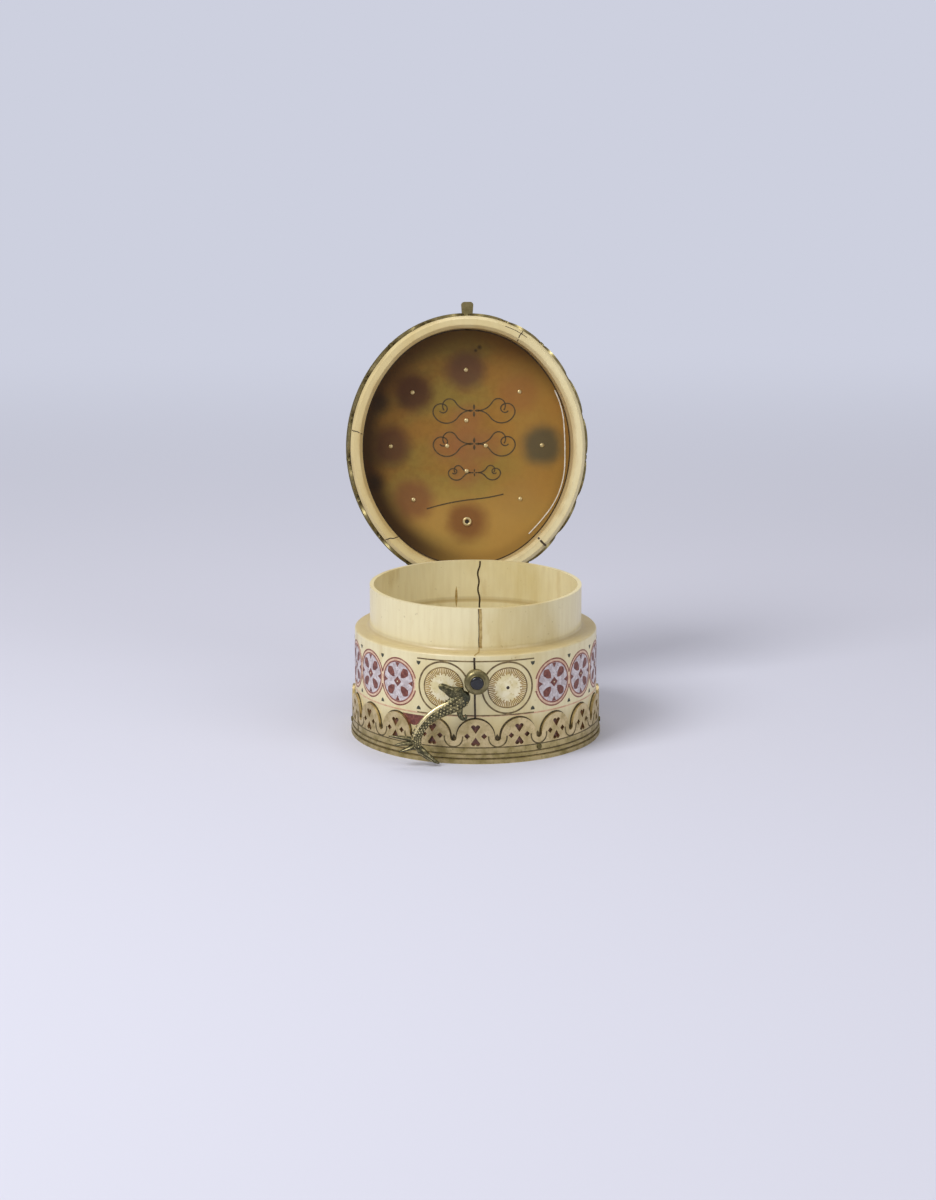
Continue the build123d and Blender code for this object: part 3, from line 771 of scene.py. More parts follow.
# %% [markdown]
# A sunburst's rays are short straight cuts that start at the rim and stop well before the
# middle. They were cut by eye, so their lengths change from ray to ray, here by a wave that
# doesn't fit the count of the rays and so never seems to repeat.

# %% Sunbursts
ray_count = 60
ray_start = 3.7 * mm
ray_end = 6.0 * mm


def draw_rays(sheet):
    """Short radial cuts of slightly different lengths."""
    for number in range(ray_count):
        angle = math.tau * number / ray_count
        length = (ray_end - ray_start) * (0.85 + 0.15 * math.cos(number * 2.4))
        start = Vector((math.cos(angle), math.sin(angle))) * (ray_end - length)
        Burin(sheet, start.x, start.y, math.degrees(angle), 0.27 * mm).go(length)


def draw_sunburst_outlines(sheet):
    """One line just inside the disc's edge and one on the ivory outside it."""
    draw_ring(sheet, sunburst_radius - 0.2 * mm, 0.34 * mm)
    draw_ring(sheet, sunburst_radius + 1.5 * mm, 0.5 * mm)


piece("sunburst_rays", drawn_round(draw_rays, sunburst_spots), "root", gold_line)
outlines = drawn_round(draw_sunburst_outlines, sunburst_spots)
piece("sunburst_outlines", outlines, "root", soft_line)

# %% [markdown]
# Where two roundels nearly touch, a triangular gap is left above and below. Each holds half a
# leaf of green-black paste, its point towards the middle of the band. The sunbursts have a
# quieter frame of two straight lines.

# %% Notches between the roundels
notch_length = 2.4 * mm
notch_width = 1.4 * mm
notch_reach = 7.3 * mm
notch_spots = [
    roundel_shift + side * (first_cross_offset + (number + 0.5) * cross_pitch)
    for side in (-1, 1)
    for number in range(crosses_each_side - 1)
]
edge_gap = (first_cross_offset + sunburst_offset) / 2
notch_spots += [roundel_shift + side * edge_gap for side in (-1, 1)]


def draw_notches(sheet):
    """Half a leaf above the middle and half a leaf below it."""
    for side in (-1, 1):
        notch = bmesh.new()
        pointed_leaf(notch, notch_length, notch_width, 4)
        cut_across(notch, (0, 0, 0), (0, side, 0), clear=True)
        bmesh.ops.translate(notch, verts=notch.verts, vec=(0, side * notch_reach, 0))
        join_into(sheet, notch)


notches = drawn_round(draw_notches, notch_spots)
piece("band_notches", notches, "root", green_black)

# %% Lines that frame the sunbursts
frame_half_length = 18.0 * mm
frame_reach = 8.15 * mm
frame_lines = bmesh.new()
for side in (-1, 1):
    strip = bmesh.new()
    line = Burin(strip, -frame_half_length, side * frame_reach, 0, 0.38 * mm)
    line.go(2 * frame_half_length)
    thicken(strip, mark_height, mark_sunk)
    wrap(strip, drum_wall, roundel_shift, roundel_level)
    join_into(frame_lines, strip)
piece("frame_lines", frame_lines, "root", soft_line)

# %% [markdown]
# Low on the band, red has bled out in a faint line all the way round, and a patch of it is left
# beside the hook. The patch is half a wide leaf. It is cut into strips before it is wrapped,
# because a flat face can only bend where it has edges.

# %% A faint red line under the roundels, and a red patch left of the hook
red_edge_level = 14.2 * mm
back_gap = 0.1 * mm
red_edge = bmesh.new()
Burin(red_edge, 0, 0, 0, 0.4 * mm).go(drum_wall.length - back_gap)
thicken(red_edge, 0.8 * mark_height, mark_sunk)
wrap(red_edge, drum_wall, drum_wall.length / 2, red_edge_level)
pink_line = paste("pink_line", "C99A7C", "D9B894")
piece("red_edge_line", red_edge, "root", pink_line)

red_patch = bmesh.new()
pointed_leaf(red_patch, 8.2 * mm, 6.4 * mm)
turned_about(red_patch, 90)
cut_across(red_patch, (0, 0, 0), (0, 1, 0), clear=True)
for cut in range(-3, 4):
    cut_across(red_patch, (cut * mm, 0, 0), (1, 0, 0))
thicken(red_patch, 1.4 * mark_height, mark_sunk)
wrap(red_patch, drum_wall, -21.2 * mm, 13.4 * mm)
piece("red_patch", red_patch, "root", red_paste)

# %% [markdown]
# ## Engraved lines on the brass
# The galleries were pierced with a saw and then engraved. A shallow curve runs under each
# slot from diamond to diamond, and plain lines run round the band above and between its two
# beads. Dirt has settled in them, so they read as dark lines. The lid has the same lines,
# upside down, because its arches hang.

# %% Lines under the slots and along the bands
def shut_box(name):
    """The lowest and highest corner of a lid piece while the lid is shut."""
    corners = [swing_shut @ corner.co for corner in frame["nodes"][name].data.vertices]
    low = Vector(min(corner[axis] for corner in corners) for axis in range(3))
    high = Vector(max(corner[axis] for corner in corners) for axis in range(3))
    return low, high


arch_count = 19
slot_width = 1.9 * mm
engraved_width = 0.42 * mm
under_slot_radius = 2.75 * mm
under_slot_upright = 0.5 * mm
band_edge = 5.0 * mm
band_line_levels = (4.85 * mm, 2.95 * mm, 1.55 * mm)
gallery_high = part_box("base_gallery")[1]
base_brass_wall = drum_wall.grown(gallery_high.x - drum_high.x)
lid_high = shut_box("lid_gallery")[1]
lid_brass_wall = drum_wall.grown(lid_high.x - drum_high.x)
lid_top = shut_box("lid_moulding")[1].z
arch_rise = gallery_high.z - band_edge


def engrave_gallery(wall, first_arch, slots, base, upward):
    """The curves under a gallery's slots, standing up from a base or hanging from it."""
    whole = bmesh.new()
    pitch = wall.length / arch_count
    arch_radius = (pitch - slot_width) / 2
    slot_level = band_edge + arch_rise - arch_radius
    for slot in slots:
        sheet = bmesh.new()
        line = Burin(
            sheet, -under_slot_radius, under_slot_upright * upward, -90 * upward, engraved_width
        )
        line.go(under_slot_upright).turn(under_slot_radius, 180 * upward).go(under_slot_upright)
        thicken(sheet, mark_height, mark_sunk)
        wrap(sheet, wall, first_arch + (slot + 0.5) * pitch, base + slot_level * upward)
        join_into(whole, sheet)
    return whole


def engrave_band(wall, base, upward):
    """The plain lines round a band, each starting and ending at the back."""
    whole = bmesh.new()
    for level in band_line_levels:
        sheet = bmesh.new()
        Burin(sheet, 0, 0, 0, engraved_width * 0.8).go(wall.length - back_gap)
        thicken(sheet, mark_height, mark_sunk)
        wrap(sheet, wall, wall.length / 2, base + level * upward)
        join_into(whole, sheet)
    return whole


gallery_shift = -1.9 * mm
brass_line = paste("engraved_brass_line", "4A3E1E", "73643A", 1.0 * mm, 0.6)
base_slots = engrave_gallery(base_brass_wall, gallery_shift, range(arch_count), 0, 1)
piece("base_slot_lines", base_slots, "root", brass_line)
piece("base_band_lines", engrave_band(base_brass_wall, 0, 1), "root", brass_line)
half_way = lid_brass_wall.length / 2
lid_slots = engrave_gallery(lid_brass_wall, half_way, range(1, arch_count - 1), lid_top, -1)
piece("lid_slot_lines", lid_slots, "lid", brass_line, lid=True)
lid_lines = engrave_band(lid_brass_wall, lid_top, -1)
piece("lid_band_lines", lid_lines, "lid", brass_line, lid=True)

# %% [markdown]
# The base band is one strip of brass bent round the drum, and its ends meet left of the hook
# in an upright joint. A dark line is enough for it, as the gap is too fine to look into.

# %% The joint where the ends of the base band meet
joint_spot = -50.5 * mm
joint_height = 8.5 * mm
band_joint = bmesh.new()
Burin(band_joint, 0, 0, 90, 0.45 * mm).go(joint_height)
thicken(band_joint, 1.5 * mark_height, mark_sunk)
wrap(band_joint, base_brass_wall, joint_spot, 0.4 * mm)
piece("band_joint", band_joint, "root", brass_line)

# %% [markdown]
# Painted shade, with some dirt, lies where a cloth can't reach: along the edge of each arch,
# where the brass casts its shadow, and in the closed end of each slot. It lies on the ivory, not
# on the brass, so it is drawn on the drum's wall with the same count of arches. A line follows
# each arch just outside, and a drop fills each slot.

# %% Painted shade and dirt along the arches and in the slots
arch_shadow_clearance = 0.12 * mm
arch_shadow_upright = 1.4 * mm


def draw_arch_shadow_and_dirt(wall, first_arch, arches, base, upward):
    """A dark line of painted shadow and dirt on the ivory that follows each arch just outside its
    edge.
    """
    whole = bmesh.new()
    pitch = wall.length / arch_count
    arch_radius = (pitch - slot_width) / 2 + arch_shadow_clearance
    slot_level = band_edge + arch_rise - arch_radius + 0.1 * mm
    for arch in arches:
        sheet = bmesh.new()
        line = Burin(sheet, arch_radius, -arch_shadow_upright * upward, 90 * upward, 0.5 * mm)
        line.go(arch_shadow_upright).turn(arch_radius, 180 * upward).go(arch_shadow_upright)
        thicken(sheet, mark_height, mark_sunk)
        wrap(sheet, wall, first_arch + arch * pitch, base + slot_level * upward)
        join_into(whole, sheet)
    return whole


def draw_slot_shade_and_dirt(wall, first_arch, slots, base, upward):
    """A dark drop of painted shade and dirt at the closed end of each slot."""
    whole = bmesh.new()
    pitch = wall.length / arch_count
    drop_level = band_edge + 1.2 * mm
    for slot in slots:
        sheet = bmesh.new()
        pointed_leaf(sheet, 5.0 * mm, 1.8 * mm)
        thicken(sheet, mark_height, mark_sunk)
        wrap(sheet, wall, first_arch + (slot + 0.5) * pitch, base + drop_level * upward)
        join_into(whole, sheet)
    return whole


# One dark colour for painted shade with some dirt.
dirt_and_shade = paste("painted_shade_and_dirt", "3E3420", "665838", 1.0 * mm, 0.7)
arch_shadow_and_dirt = draw_arch_shadow_and_dirt(drum_wall, gallery_shift, range(arch_count), 0, 1)
piece("arch_shadow_and_dirt", arch_shadow_and_dirt, "root", dirt_and_shade)
slot_shade_and_dirt = draw_slot_shade_and_dirt(drum_wall, gallery_shift, range(arch_count), 0, 1)
piece("slot_shade_and_dirt", slot_shade_and_dirt, "root", dirt_and_shade)

# %% [markdown]
# ## Cracks in the ivory
# Ivory shrinks across its grain, and old boxes open in a few long cracks. Each crack here is
# a thin dark line that wanders a little: down the front of the neck, over the shoulder and
# down the band, and again inside the back of the neck. The lid's rim has five short ones.

# %% Cracks in the drum
def wandering_line(sheet, length, width, swings, heading=-90, up=0.0):
    """A line that runs on while it swings from side to side by the given angles."""
    line = Burin(sheet, 0, up, heading, width)
    for swing in swings:
        line.turn(length / len(swings) / math.radians(abs(swing)), swing)
    return line


shoulder_width = 4.6 * mm
neck_thickness = 1.2 * mm
neck_wall = drum_wall.grown(-shoulder_width)
cavity_wall = neck_wall.grown(-neck_thickness)
neck_top = drum_high.z
crack_swings = (8, -14, 12, -9, 7, -12, 14, -6)

neck_crack = bmesh.new()
wandering_line(neck_crack, neck_top - shoulder_level - 0.5 * mm, 1.05 * mm, crack_swings)
thicken(neck_crack, mark_height, mark_sunk)
wrap(neck_crack, neck_wall, -0.45 * mm, neck_top - 0.1 * mm)
stain_brown = paste("crack_stain", "9E8248", "C0A86C", 1.2 * mm)
piece("neck_crack", neck_crack, "root", stain_brown)

neck_crack_core = bmesh.new()
wandering_line(neck_crack_core, neck_top - shoulder_level - 1.5 * mm, 0.2 * mm, crack_swings)
thicken(neck_crack_core, 2 * mark_height, mark_sunk)
wrap(neck_crack_core, neck_wall, -0.85 * mm, neck_top - 0.1 * mm)
crack_dark = paste("crack_dark", "2C2014", "4A3820", 0.8 * mm)
piece("neck_crack_core", neck_crack_core, "root", crack_dark)

band_crack = bmesh.new()
band_crack_length = shoulder_level - 14.0 * mm
wandering_line(band_crack, band_crack_length, 0.55 * mm, (2, -3, 3, -2, 2, -2))
thicken(band_crack, 2 * mark_height, mark_sunk)
wrap(band_crack, drum_wall, -2.25 * mm, shoulder_level - 0.7 * mm)
piece("band_crack", band_crack, "root", crack_dark)

# %% [markdown]
# Between the neck and the band the crack crosses the shoulder. Its ribbon is dropped onto the
# ivory from above, so it takes up the hollow at the neck's foot and the worn edge of the band.

# %% Crack over the shoulder
drum_mesh = frame["nodes"]["ivory_drum"].data
drum_surface = BVHTree.FromPolygons(
    [corner.co for corner in drum_mesh.vertices], [face.vertices for face in drum_mesh.polygons]
)
shoulder_crack = bmesh.new()
shoulder_swings = (14, -24, 22, -20, 24, -18, 12)
wandering_line(shoulder_crack, 4.62 * mm, 0.4 * mm, shoulder_swings, heading=-114)
neck_foot = Vector((-0.55 * mm, -36.6 * mm, neck_top + mm))
for corner in shoulder_crack.verts:
    corner.co = drum_surface.ray_cast(neck_foot + corner.co, Vector((0, 0, -1)))[0]
thicken(shoulder_crack, 2 * mark_height, mark_sunk)
piece("shoulder_crack", shoulder_crack, "root", stain_brown)

# %% [markdown]
# Inside the back of the neck one crack runs slanting down, and a brown stain lies beside it.
# The wall's stand-off points outwards, so these are thickened towards the inside instead.

# %% Cracks inside the neck
inner_crack = bmesh.new()
wandering_line(inner_crack, 16 * mm, 0.5 * mm, (30, -42, 34, -36, 28, -20), heading=-96)
thicken(inner_crack, mark_sunk, mark_height)
wrap(inner_crack, cavity_wall, 101.0 * mm, neck_top - 0.2 * mm)
piece("inner_crack", inner_crack, "root", crack_dark)

inner_stain = bmesh.new()
pointed_leaf(inner_stain, 7.0 * mm, 0.8 * mm)
thicken(inner_stain, mark_sunk, mark_height)
wrap(inner_stain, cavity_wall, 108.5 * mm, 34.0 * mm)
piece("inner_stain", inner_stain, "root", stain_brown)

# %% [markdown]
# ## The horn panel
# Horn is boiled, pressed flat and polished until light comes through. Inlays fixed to its
# far side show from here as blurred dark discs, and the ends of their pins as pale dots.
# The blur could come from a real see-through shader, but it would be slow and noisy, so the
# discs are painted into the horn's own colour, each as a distance with a soft edge. Painted
# shade darkens the horn along its left edge.

# %% The point on a lid piece while the lid is shut
def shut_point(finish):
    """The point on a lid piece as it lies while the lid is shut, as a flat vector."""
    point = finish.node("ShaderNodeTexCoord", {}, output="Object")
    turned = finish.node(
        "ShaderNodeMapping", {"vector_type": "POINT"}, point,
        swing_shut.to_translation(), swing_shut.to_euler(),
    )
    return finish.node("ShaderNodeVectorMath", {"operation": "MULTIPLY"}, turned, (1, 1, 0))


def distance_from(finish, point, across, deep):
    """How far a flat point is from a spot on the panel."""
    spot = (across, deep, 0)
    return finish.node("ShaderNodeVectorMath", {"operation": "DISTANCE"}, point, spot)


print("the finishes of the lid turn by", round(math.degrees(open_angle), 1), "degrees")

# %% Where the roundels sit in the shut lid
panel_low, panel_high = shut_box("horn_panel")
horn_face = panel_low.z
lid_pattern_low, lid_pattern_high = shut_box("lid_roundels")
lid_pattern_deep = (lid_pattern_low.y + lid_pattern_high.y) / 2
lid_roundel_radius = 6.2 * mm
lid_roundel_circle = (lid_pattern_high.y - lid_pattern_low.y) / 2 - lid_roundel_radius
lid_roundel_count = 8
lid_roundel_spots = [
    (lid_roundel_circle * math.sin(turn), lid_pattern_deep - lid_roundel_circle * math.cos(turn))
    for turn in (math.tau * number / lid_roundel_count for number in range(lid_roundel_count))
]
rosette_across = 6.2 * mm
rosette_deep = 8.1 * mm
rosette_spots = [
    (rosette_across, lid_pattern_deep), (-rosette_across, lid_pattern_deep),
    (0, lid_pattern_deep - rosette_deep), (0, lid_pattern_deep + rosette_deep),
]
print("horn face at", round(horn_face / mm, 2), "mm")
print("roundel circle", round(lid_roundel_circle / mm, 2), "mm")

# %% Amber of the horn
horn = Finish(
    "horn", Roughness=0.42, Specular_IOR_Level=0.3, Coat_Weight=0.05, Coat_Roughness=0.3
)
horn_point = shut_point(horn)
across, deep = horn.place(horn_point)[:2]
streaks = horn.clouds(0.011, 3.0, stretch=(1.6, 1, 1), seed=2.0).step(0.35, 0.68)
wisps = horn.clouds(0.005, 4.0, seed=12.0)
amber = horn.mix(streaks, linear("946A2A"), linear("8A7230"))
fibres = horn.clouds(0.0016, 4.0, stretch=(1, 9, 1), seed=5.0).step(0.35, 0.7)
amber = horn.mix(fibres * 0.22, amber, linear("6A4A18"))
amber = horn.mix((across / (25 * mm)).step(0.1, 1.0) * 0.6, amber, linear("AC7E38"))
amber = horn.mix((deep / (30 * mm)).step(0.2, 0.8) * 0.6, amber, linear("B8944C"))
print("amber runs from 946A2A to 8A7230")

# %% [markdown]
# Each disc behind the horn gets its own tone and strength, as no two pieces of horn or inlay
# are equally thick. Noise is added to the distance before the soft edge is taken, so the
# edges wander as they would through streaky horn.

# %% Discs that show through the horn
roundel_tones = (
    ("58392A", 0.8), ("8E5630", 0.4), ("504A34", 0.88), ("8A6A3C", 0.15),
    ("6E3C1E", 0.75), ("76422A", 0.7), ("56301E", 0.82), ("4C2A18", 0.88),
)
blur = (wisps - 0.5) * (2.6 * mm)
for spot, (tone, strength) in zip(lid_roundel_spots, roundel_tones):
    far = distance_from(horn, horn_point, *spot)
    share = (far + blur).step(3.4 * mm, 9.0 * mm, strength, 0.0)
    amber = horn.mix(share, amber, linear(tone))
for spot in [*rosette_spots, (0, lid_pattern_deep)]:
    far = distance_from(horn, horn_point, *spot)
    share = (far + blur).step(2.5 * mm, 7.5 * mm, 0.42, 0.0)
    amber = horn.mix(share, amber, linear("8C5636"))
print("discs in the horn's colour:", len(roundel_tones) + len(rosette_spots) + 1)

# %% [markdown]
# The shares below run from 0 in the middle of the panel to 1 at its edge. With them painted
# shade darkens the left side, the top of the open lid is darkened, and painted shade darkens
# the whole rim a little. Then four dark spots are put: the two large ones on the left are
# painted shade, and the two small ones near the top are stains where dirt has crept in.

# %% Painted shade at the edges, and stains
wide_share = across / panel_high.x
deep_share = (deep - lid_pattern_deep) / panel_high.y
edge_share = wide_share * wide_share + deep_share * deep_share
# Painted shade along the left edge.
left_edge_shade = edge_share.step(0.52, 0.86) * wide_share.step(0.25, -0.55)
amber = horn.mix(left_edge_shade * 0.9, amber, linear("341C04"))
top_edge = edge_share.step(0.5, 0.88) * deep_share.step(-0.35, -0.85)
amber = horn.mix(top_edge * 0.6, amber, linear("5E3E12"))
rim_shade = edge_share.step(0.72, 0.9)
amber = horn.mix(rim_shade * 0.25, amber, linear("4C3414"))
# The two large spots on the left are painted shade; the two small ones near the top are stains.
stains_and_shade_spots = ((4.4, -32.0, 1.1), (-27.5, -14.5, 5.5), (-29.5, 11.0, 4.5), (3.2, -31.0, 0.7))
for spot_across, spot_deep, size in stains_and_shade_spots:
    far = distance_from(horn, horn_point, spot_across * mm, spot_deep * mm)
    share = (far + blur * 0.3).step(size * 0.1 * mm, size * mm, 0.75, 0.0)
    amber = horn.mix(share, amber, linear("2A1C0A"))
horn.set("Base Color", amber)
horn.set("Roughness", wisps * 0.2 + 0.32)
finish_node("horn_panel", horn)
print("horn has", len(horn.tree.nodes), "nodes")

# %% [markdown]
# The lid's ring is the same ivory, seen from below. Painted shade makes it browner on the left
# and painted light paler on the right, and it is brown along the inner edge where the horn is
# let in, partly stain and partly painted shade on the inner wall. Its shares are measured on
# the shut lid too, so the stains and the painted shade stay put when the lid moves.

# %% The lid's own ivory, with painted shade and light, brown along the inner edge of its rim
lid_ivory = Finish("lid_ivory", Roughness=0.38, Coat_Weight=0.1, Coat_Roughness=0.25)
across, deep = lid_ivory.place(shut_point(lid_ivory))[:2]
lid_ring_low, lid_ring_high = shut_box("lid_ring")
wide_share = across / lid_ring_high.x
deep_share = deep / lid_ring_high.y
rim_share = wide_share * wide_share + deep_share * deep_share
wobble = (lid_ivory.clouds(0.006, 4.0, seed=4.0) - 0.5) * 0.12
inner_edge_stain_and_shade = (rim_share + wobble).step(0.80, 0.90, 1.0, 0.0)
outer_edge = (rim_share + wobble).step(0.96, 1.0)
aged_and_shaded = lid_ivory.mix(0.35, ivory_tone(lid_ivory), linear("D2BD82"))
# Painted shade on the left and painted light on the right.
aged_and_shaded = lid_ivory.mix(wide_share.step(0.2, -0.9) * 0.45, aged_and_shaded, linear("BDA264"))
aged_and_shaded = lid_ivory.mix(wide_share.step(0.1, 0.9) * 0.5, aged_and_shaded, linear("EBDDB0"))
aged_and_shaded = lid_ivory.mix(deep_share.step(-0.5, -0.95) * 0.35, aged_and_shaded, linear("C4B07A"))
# Brown along the inner edge: partly stain, partly painted shade on the inner wall.
aged_and_shaded = lid_ivory.mix(inner_edge_stain_and_shade * 0.5, aged_and_shaded, linear("A98646"))
aged_and_shaded = lid_ivory.mix(outer_edge * 0.3, aged_and_shaded, linear("8C7442"))
lid_ivory.set("Base Color", aged_and_shaded)
lid_ivory.bump(lid_ivory.clouds(0.003, 4.0, seed=30.0), 0.12 * mm, 0.6)
finish_node("lid_ring", lid_ivory)
print("lid ivory has", len(lid_ivory.tree.nodes), "nodes")

# %% [markdown]
# ## Marks on the horn
# Fine ornament is scratched in the horn: three rows of paired scrolls with a small flower
# between them, and one curved line underneath. The burin draws them flat, and the drawing is
# turned to face down, since this is the side that looks into the box.

# %% Scrolls scratched in the horn
scratch = paste("scratched_line", "3C2E12", "54401C", 1.0 * mm, 0.6)
scratch_width = 0.4 * mm


def lay_on_horn(sheet, across, deep):
    """Turn a drawing to face down and lay it on the horn of the shut lid."""
    facing_down = Matrix.Rotation(math.pi, 3, "X")
    bmesh.ops.rotate(sheet, verts=sheet.verts, cent=(0, 0, 0), matrix=facing_down)
    bmesh.ops.translate(sheet, verts=sheet.verts, vec=(across, deep, horn_face))


def draw_scroll(sheet, across, up, side, size):
    """A line that sets out from the middle, swings under and rolls up at its end."""
    heading = 0 if side > 0 else 180
    line = Burin(sheet, across, up, heading, scratch_width)
    line.turn(3.2 * size, -55 * side).turn(3.0 * size, 120 * side)
    line.turn(1.7 * size, 150 * side).turn(0.9 * size, 200 * side)
    tendril = Burin(sheet, across, up, heading, scratch_width)
    tendril.turn(3.6 * size, 60 * side).turn(1.5 * size, -190 * side)


def draw_scroll_row(sheet, up, half_gap, size):
    """Two scrolls back to back, with a flower of four leaves between them."""
    for side in (-1, 1):
        draw_scroll(sheet, side * half_gap, up, side, size)
    for quarter in range(4):
        leaf = bmesh.new()
        pointed_leaf(leaf, 1.3 * size, 0.5 * size, 4)
        bmesh.ops.translate(leaf, verts=leaf.verts, vec=(0, 0.75 * size, 0))
        turned_about(leaf, 90 * quarter)
        bmesh.ops.translate(leaf, verts=leaf.verts, vec=(0, up, 0))
        join_into(sheet, leaf)


scrolls = bmesh.new()
draw_scroll_row(scrolls, 11.8 * mm, 1.2 * mm, 1.5 * mm)
draw_scroll_row(scrolls, 1.2 * mm, 1.2 * mm, 1.5 * mm)
draw_scroll_row(scrolls, -8.0 * mm, 1.2 * mm, 0.9 * mm)
thicken(scrolls, mark_height, mark_sunk)
lay_on_horn(scrolls, 2.5 * mm, 0)
piece("horn_scrolls", scrolls, "lid", scratch, lid=True)

underline = bmesh.new()
line = Burin(underline, -14.9 * mm, -1.9 * mm, 17, scratch_width)
line.turn(75 * mm, -12).turn(60 * mm, 9)
thicken(underline, mark_height, mark_sunk)
lay_on_horn(underline, 2.0 * mm, 17.6 * mm)
piece("horn_underline", underline, "lid", scratch, lid=True)

# %% [markdown]
# The roundels outside are pinned through the horn, and the pins' ends are rubbed bright. They
# are low domes in pale gold, a little larger than the pins. One roundel has lost its pin and
# keeps an open rivet: a ring of round wire, spun about its middle, with a dark hole in it.

# %% Pin ends
open_rivet = lid_roundel_spots[4]
closed_spots = [spot for spot in lid_roundel_spots if spot != open_rivet]
pin_end_radius = 0.72 * mm
pin_ends = bmesh.new()
for across, deep in closed_spots + rosette_spots:
    dome = bmesh.new()
    bmesh.ops.create_uvsphere(dome, u_segments=12, v_segments=8, radius=pin_end_radius)
    bmesh.ops.scale(dome, verts=dome.verts, vec=(1, 1, 0.55))
    bmesh.ops.translate(dome, verts=dome.verts, vec=(across, deep, horn_face))
    join_into(pin_ends, dome)
pin_gold = Finish("pin_end_gold", Metallic=0.6, Roughness=0.35)
rubbed = pin_gold.clouds(0.8 * mm, 2.0)
pin_gold.set("Base Color", pin_gold.mix(rubbed, linear("E2D2A2"), linear("C2A870")))
piece("horn_pin_ends", pin_ends, "lid", pin_gold, smooth=True, lid=True)

# %% The open rivet
ring = bmesh.new()
rivet_wire = 0.42 * mm
rivet_middle = 1.05 * mm
wire = bmesh.ops.create_circle(ring, segments=10, radius=rivet_wire)["verts"]
bmesh.ops.rotate(ring, verts=wire, cent=(0, 0, 0), matrix=Matrix.Rotation(math.pi / 2, 3, "X"))
bmesh.ops.translate(ring, verts=wire, vec=(rivet_middle, 0, 0))
bmesh.ops.spin(
    ring, geom=ring.edges[:] + ring.verts[:], cent=(0, 0, 0), axis=(0, 0, 1),
    angle=math.tau, steps=28, use_merge=True,
)
bmesh.ops.translate(ring, verts=ring.verts, vec=(*open_rivet, horn_face - rivet_wire * 0.4))
piece("open_rivet", ring, "lid", pin_gold, smooth=True, lid=True)

hole = bmesh.new()
bmesh.ops.create_circle(hole, cap_ends=True, segments=20, radius=0.85 * mm)
thicken(hole, 0.3 * mm, mark_sunk)
lay_on_horn(hole, *open_rivet)
hole_dark = paste("rivet_hole", "1C140A", "2C2010")
piece("open_rivet_hole", hole, "lid", hole_dark, lid=True)

# %% [markdown]
# On the outside of the lid the photograph shows nothing, so the eight roundels get the flower
# and outline of the band's discs, and the middle plaque an outline round each of its lobes, all
# in a pale paste on the dark inlay.

# %% Petals and outlines on the outside of the lid
def draw_lid_flower(sheet):
    """Four petals on the diagonals."""
    for quarter in range(4):
        leaf = bmesh.new()
        pointed_leaf(leaf, 3.9 * mm, 2.2 * mm)
        bmesh.ops.translate(leaf, verts=leaf.verts, vec=(0, 3.4 * mm, 0))
        turned_about(leaf, 45 + 90 * quarter)
        join_into(sheet, leaf)


def draw_lid_outline(sheet):
    """A line just inside a roundel's edge."""
    draw_ring(sheet, lid_roundel_radius - 0.5 * mm, 0.4 * mm)


def draw_lobe_outline(sheet):
    """A line round one lobe of the plaque."""
    draw_ring(sheet, 2.9 * mm, 0.35 * mm)


def drawn_on_lid(draw, spots, level):
    """The same drawing on the outside of the shut lid at several places."""
    whole = bmesh.new()
    for across, deep in spots:
        sheet = bmesh.new()
        draw(sheet)
        thicken(sheet, mark_height, mark_sunk)
        bmesh.ops.translate(sheet, verts=sheet.verts, vec=(across, deep, level))
        join_into(whole, sheet)
    return whole


roundel_top = lid_pattern_high.z
plaque_top = shut_box("lid_rosette")[1].z
flower_paste = paste("lid_flower_paste", "C9BFB4", "A99A92", 1.2 * mm)
flowers = drawn_on_lid(draw_lid_flower, lid_roundel_spots, roundel_top)
piece("lid_flowers", flowers, "lid", flower_paste, lid=True)
rings = drawn_on_lid(draw_lid_outline, lid_roundel_spots, roundel_top)
piece("lid_roundel_outlines", rings, "lid", flower_paste, lid=True)
lobes = drawn_on_lid(draw_lobe_outline, rosette_spots, plaque_top)
piece("lid_rosette_outlines", lobes, "lid", flower_paste, lid=True)

# %% [markdown]
# A dark seam runs where the horn meets the ivory, and on the right the horn has shrunk and
# left a gap, painted as a pale line for the light that shows through it. Both lie flat on a
# level face, so a second way of laying a drawing is needed: sideways still follows the oval,
# but upwards on the sheet goes outwards.

# %% The seam round the horn, and the painted light in the gap on its right
lid_overhang = 0.5 * mm
lid_thickness = 3.8 * mm
lid_outer_wall = drum_wall.grown(lid_overhang)
lid_inner_wall = lid_outer_wall.grown(-lid_thickness)


def lay_round(sheet, wall, distance, level, flat=math.inf):
    """Lay a drawing flat round an oval, its upward side outwards, and slope it past the flat."""
    for corner in sheet.verts:
        spot = wall.place(distance + corner.co.x, 0, corner.co.y)
        slope = max(0, -corner.co.y - flat)
        corner.co = Vector((spot.x, spot.y, level + slope - corner.co.z))


seam = bmesh.new()
Burin(seam, 0, 0, 0, 0.34 * mm).go(lid_inner_wall.length)
thicken(seam, mark_height, mark_sunk)
lay_round(seam, lid_inner_wall.grown(-0.25 * mm), 0, horn_face)
bmesh.ops.remove_doubles(seam, verts=seam.verts, dist=0.01 * mm)
seam_dark = paste("seam_dark", "2E200E", "46341A")
piece("horn_seam", seam, "lid", seam_dark, lid=True)

gap = bmesh.new()
line = Burin(gap, 0, 0, 0, 0.34 * mm)
line.turn(90 * mm, -7).turn(60 * mm, 13).turn(80 * mm, -12).turn(90 * mm, 6)
thicken(gap, 2.5 * mark_height, mark_sunk)
lay_round(gap, lid_inner_wall.grown(-0.7 * mm), 36 * mm, horn_face)
# Painted light: the pale line stands for light that shows through the gap.
gap_light = paste("gap_light", "F2EEE4", "D8CFC0")
piece("horn_gap", gap, "lid", gap_light, lid=True)

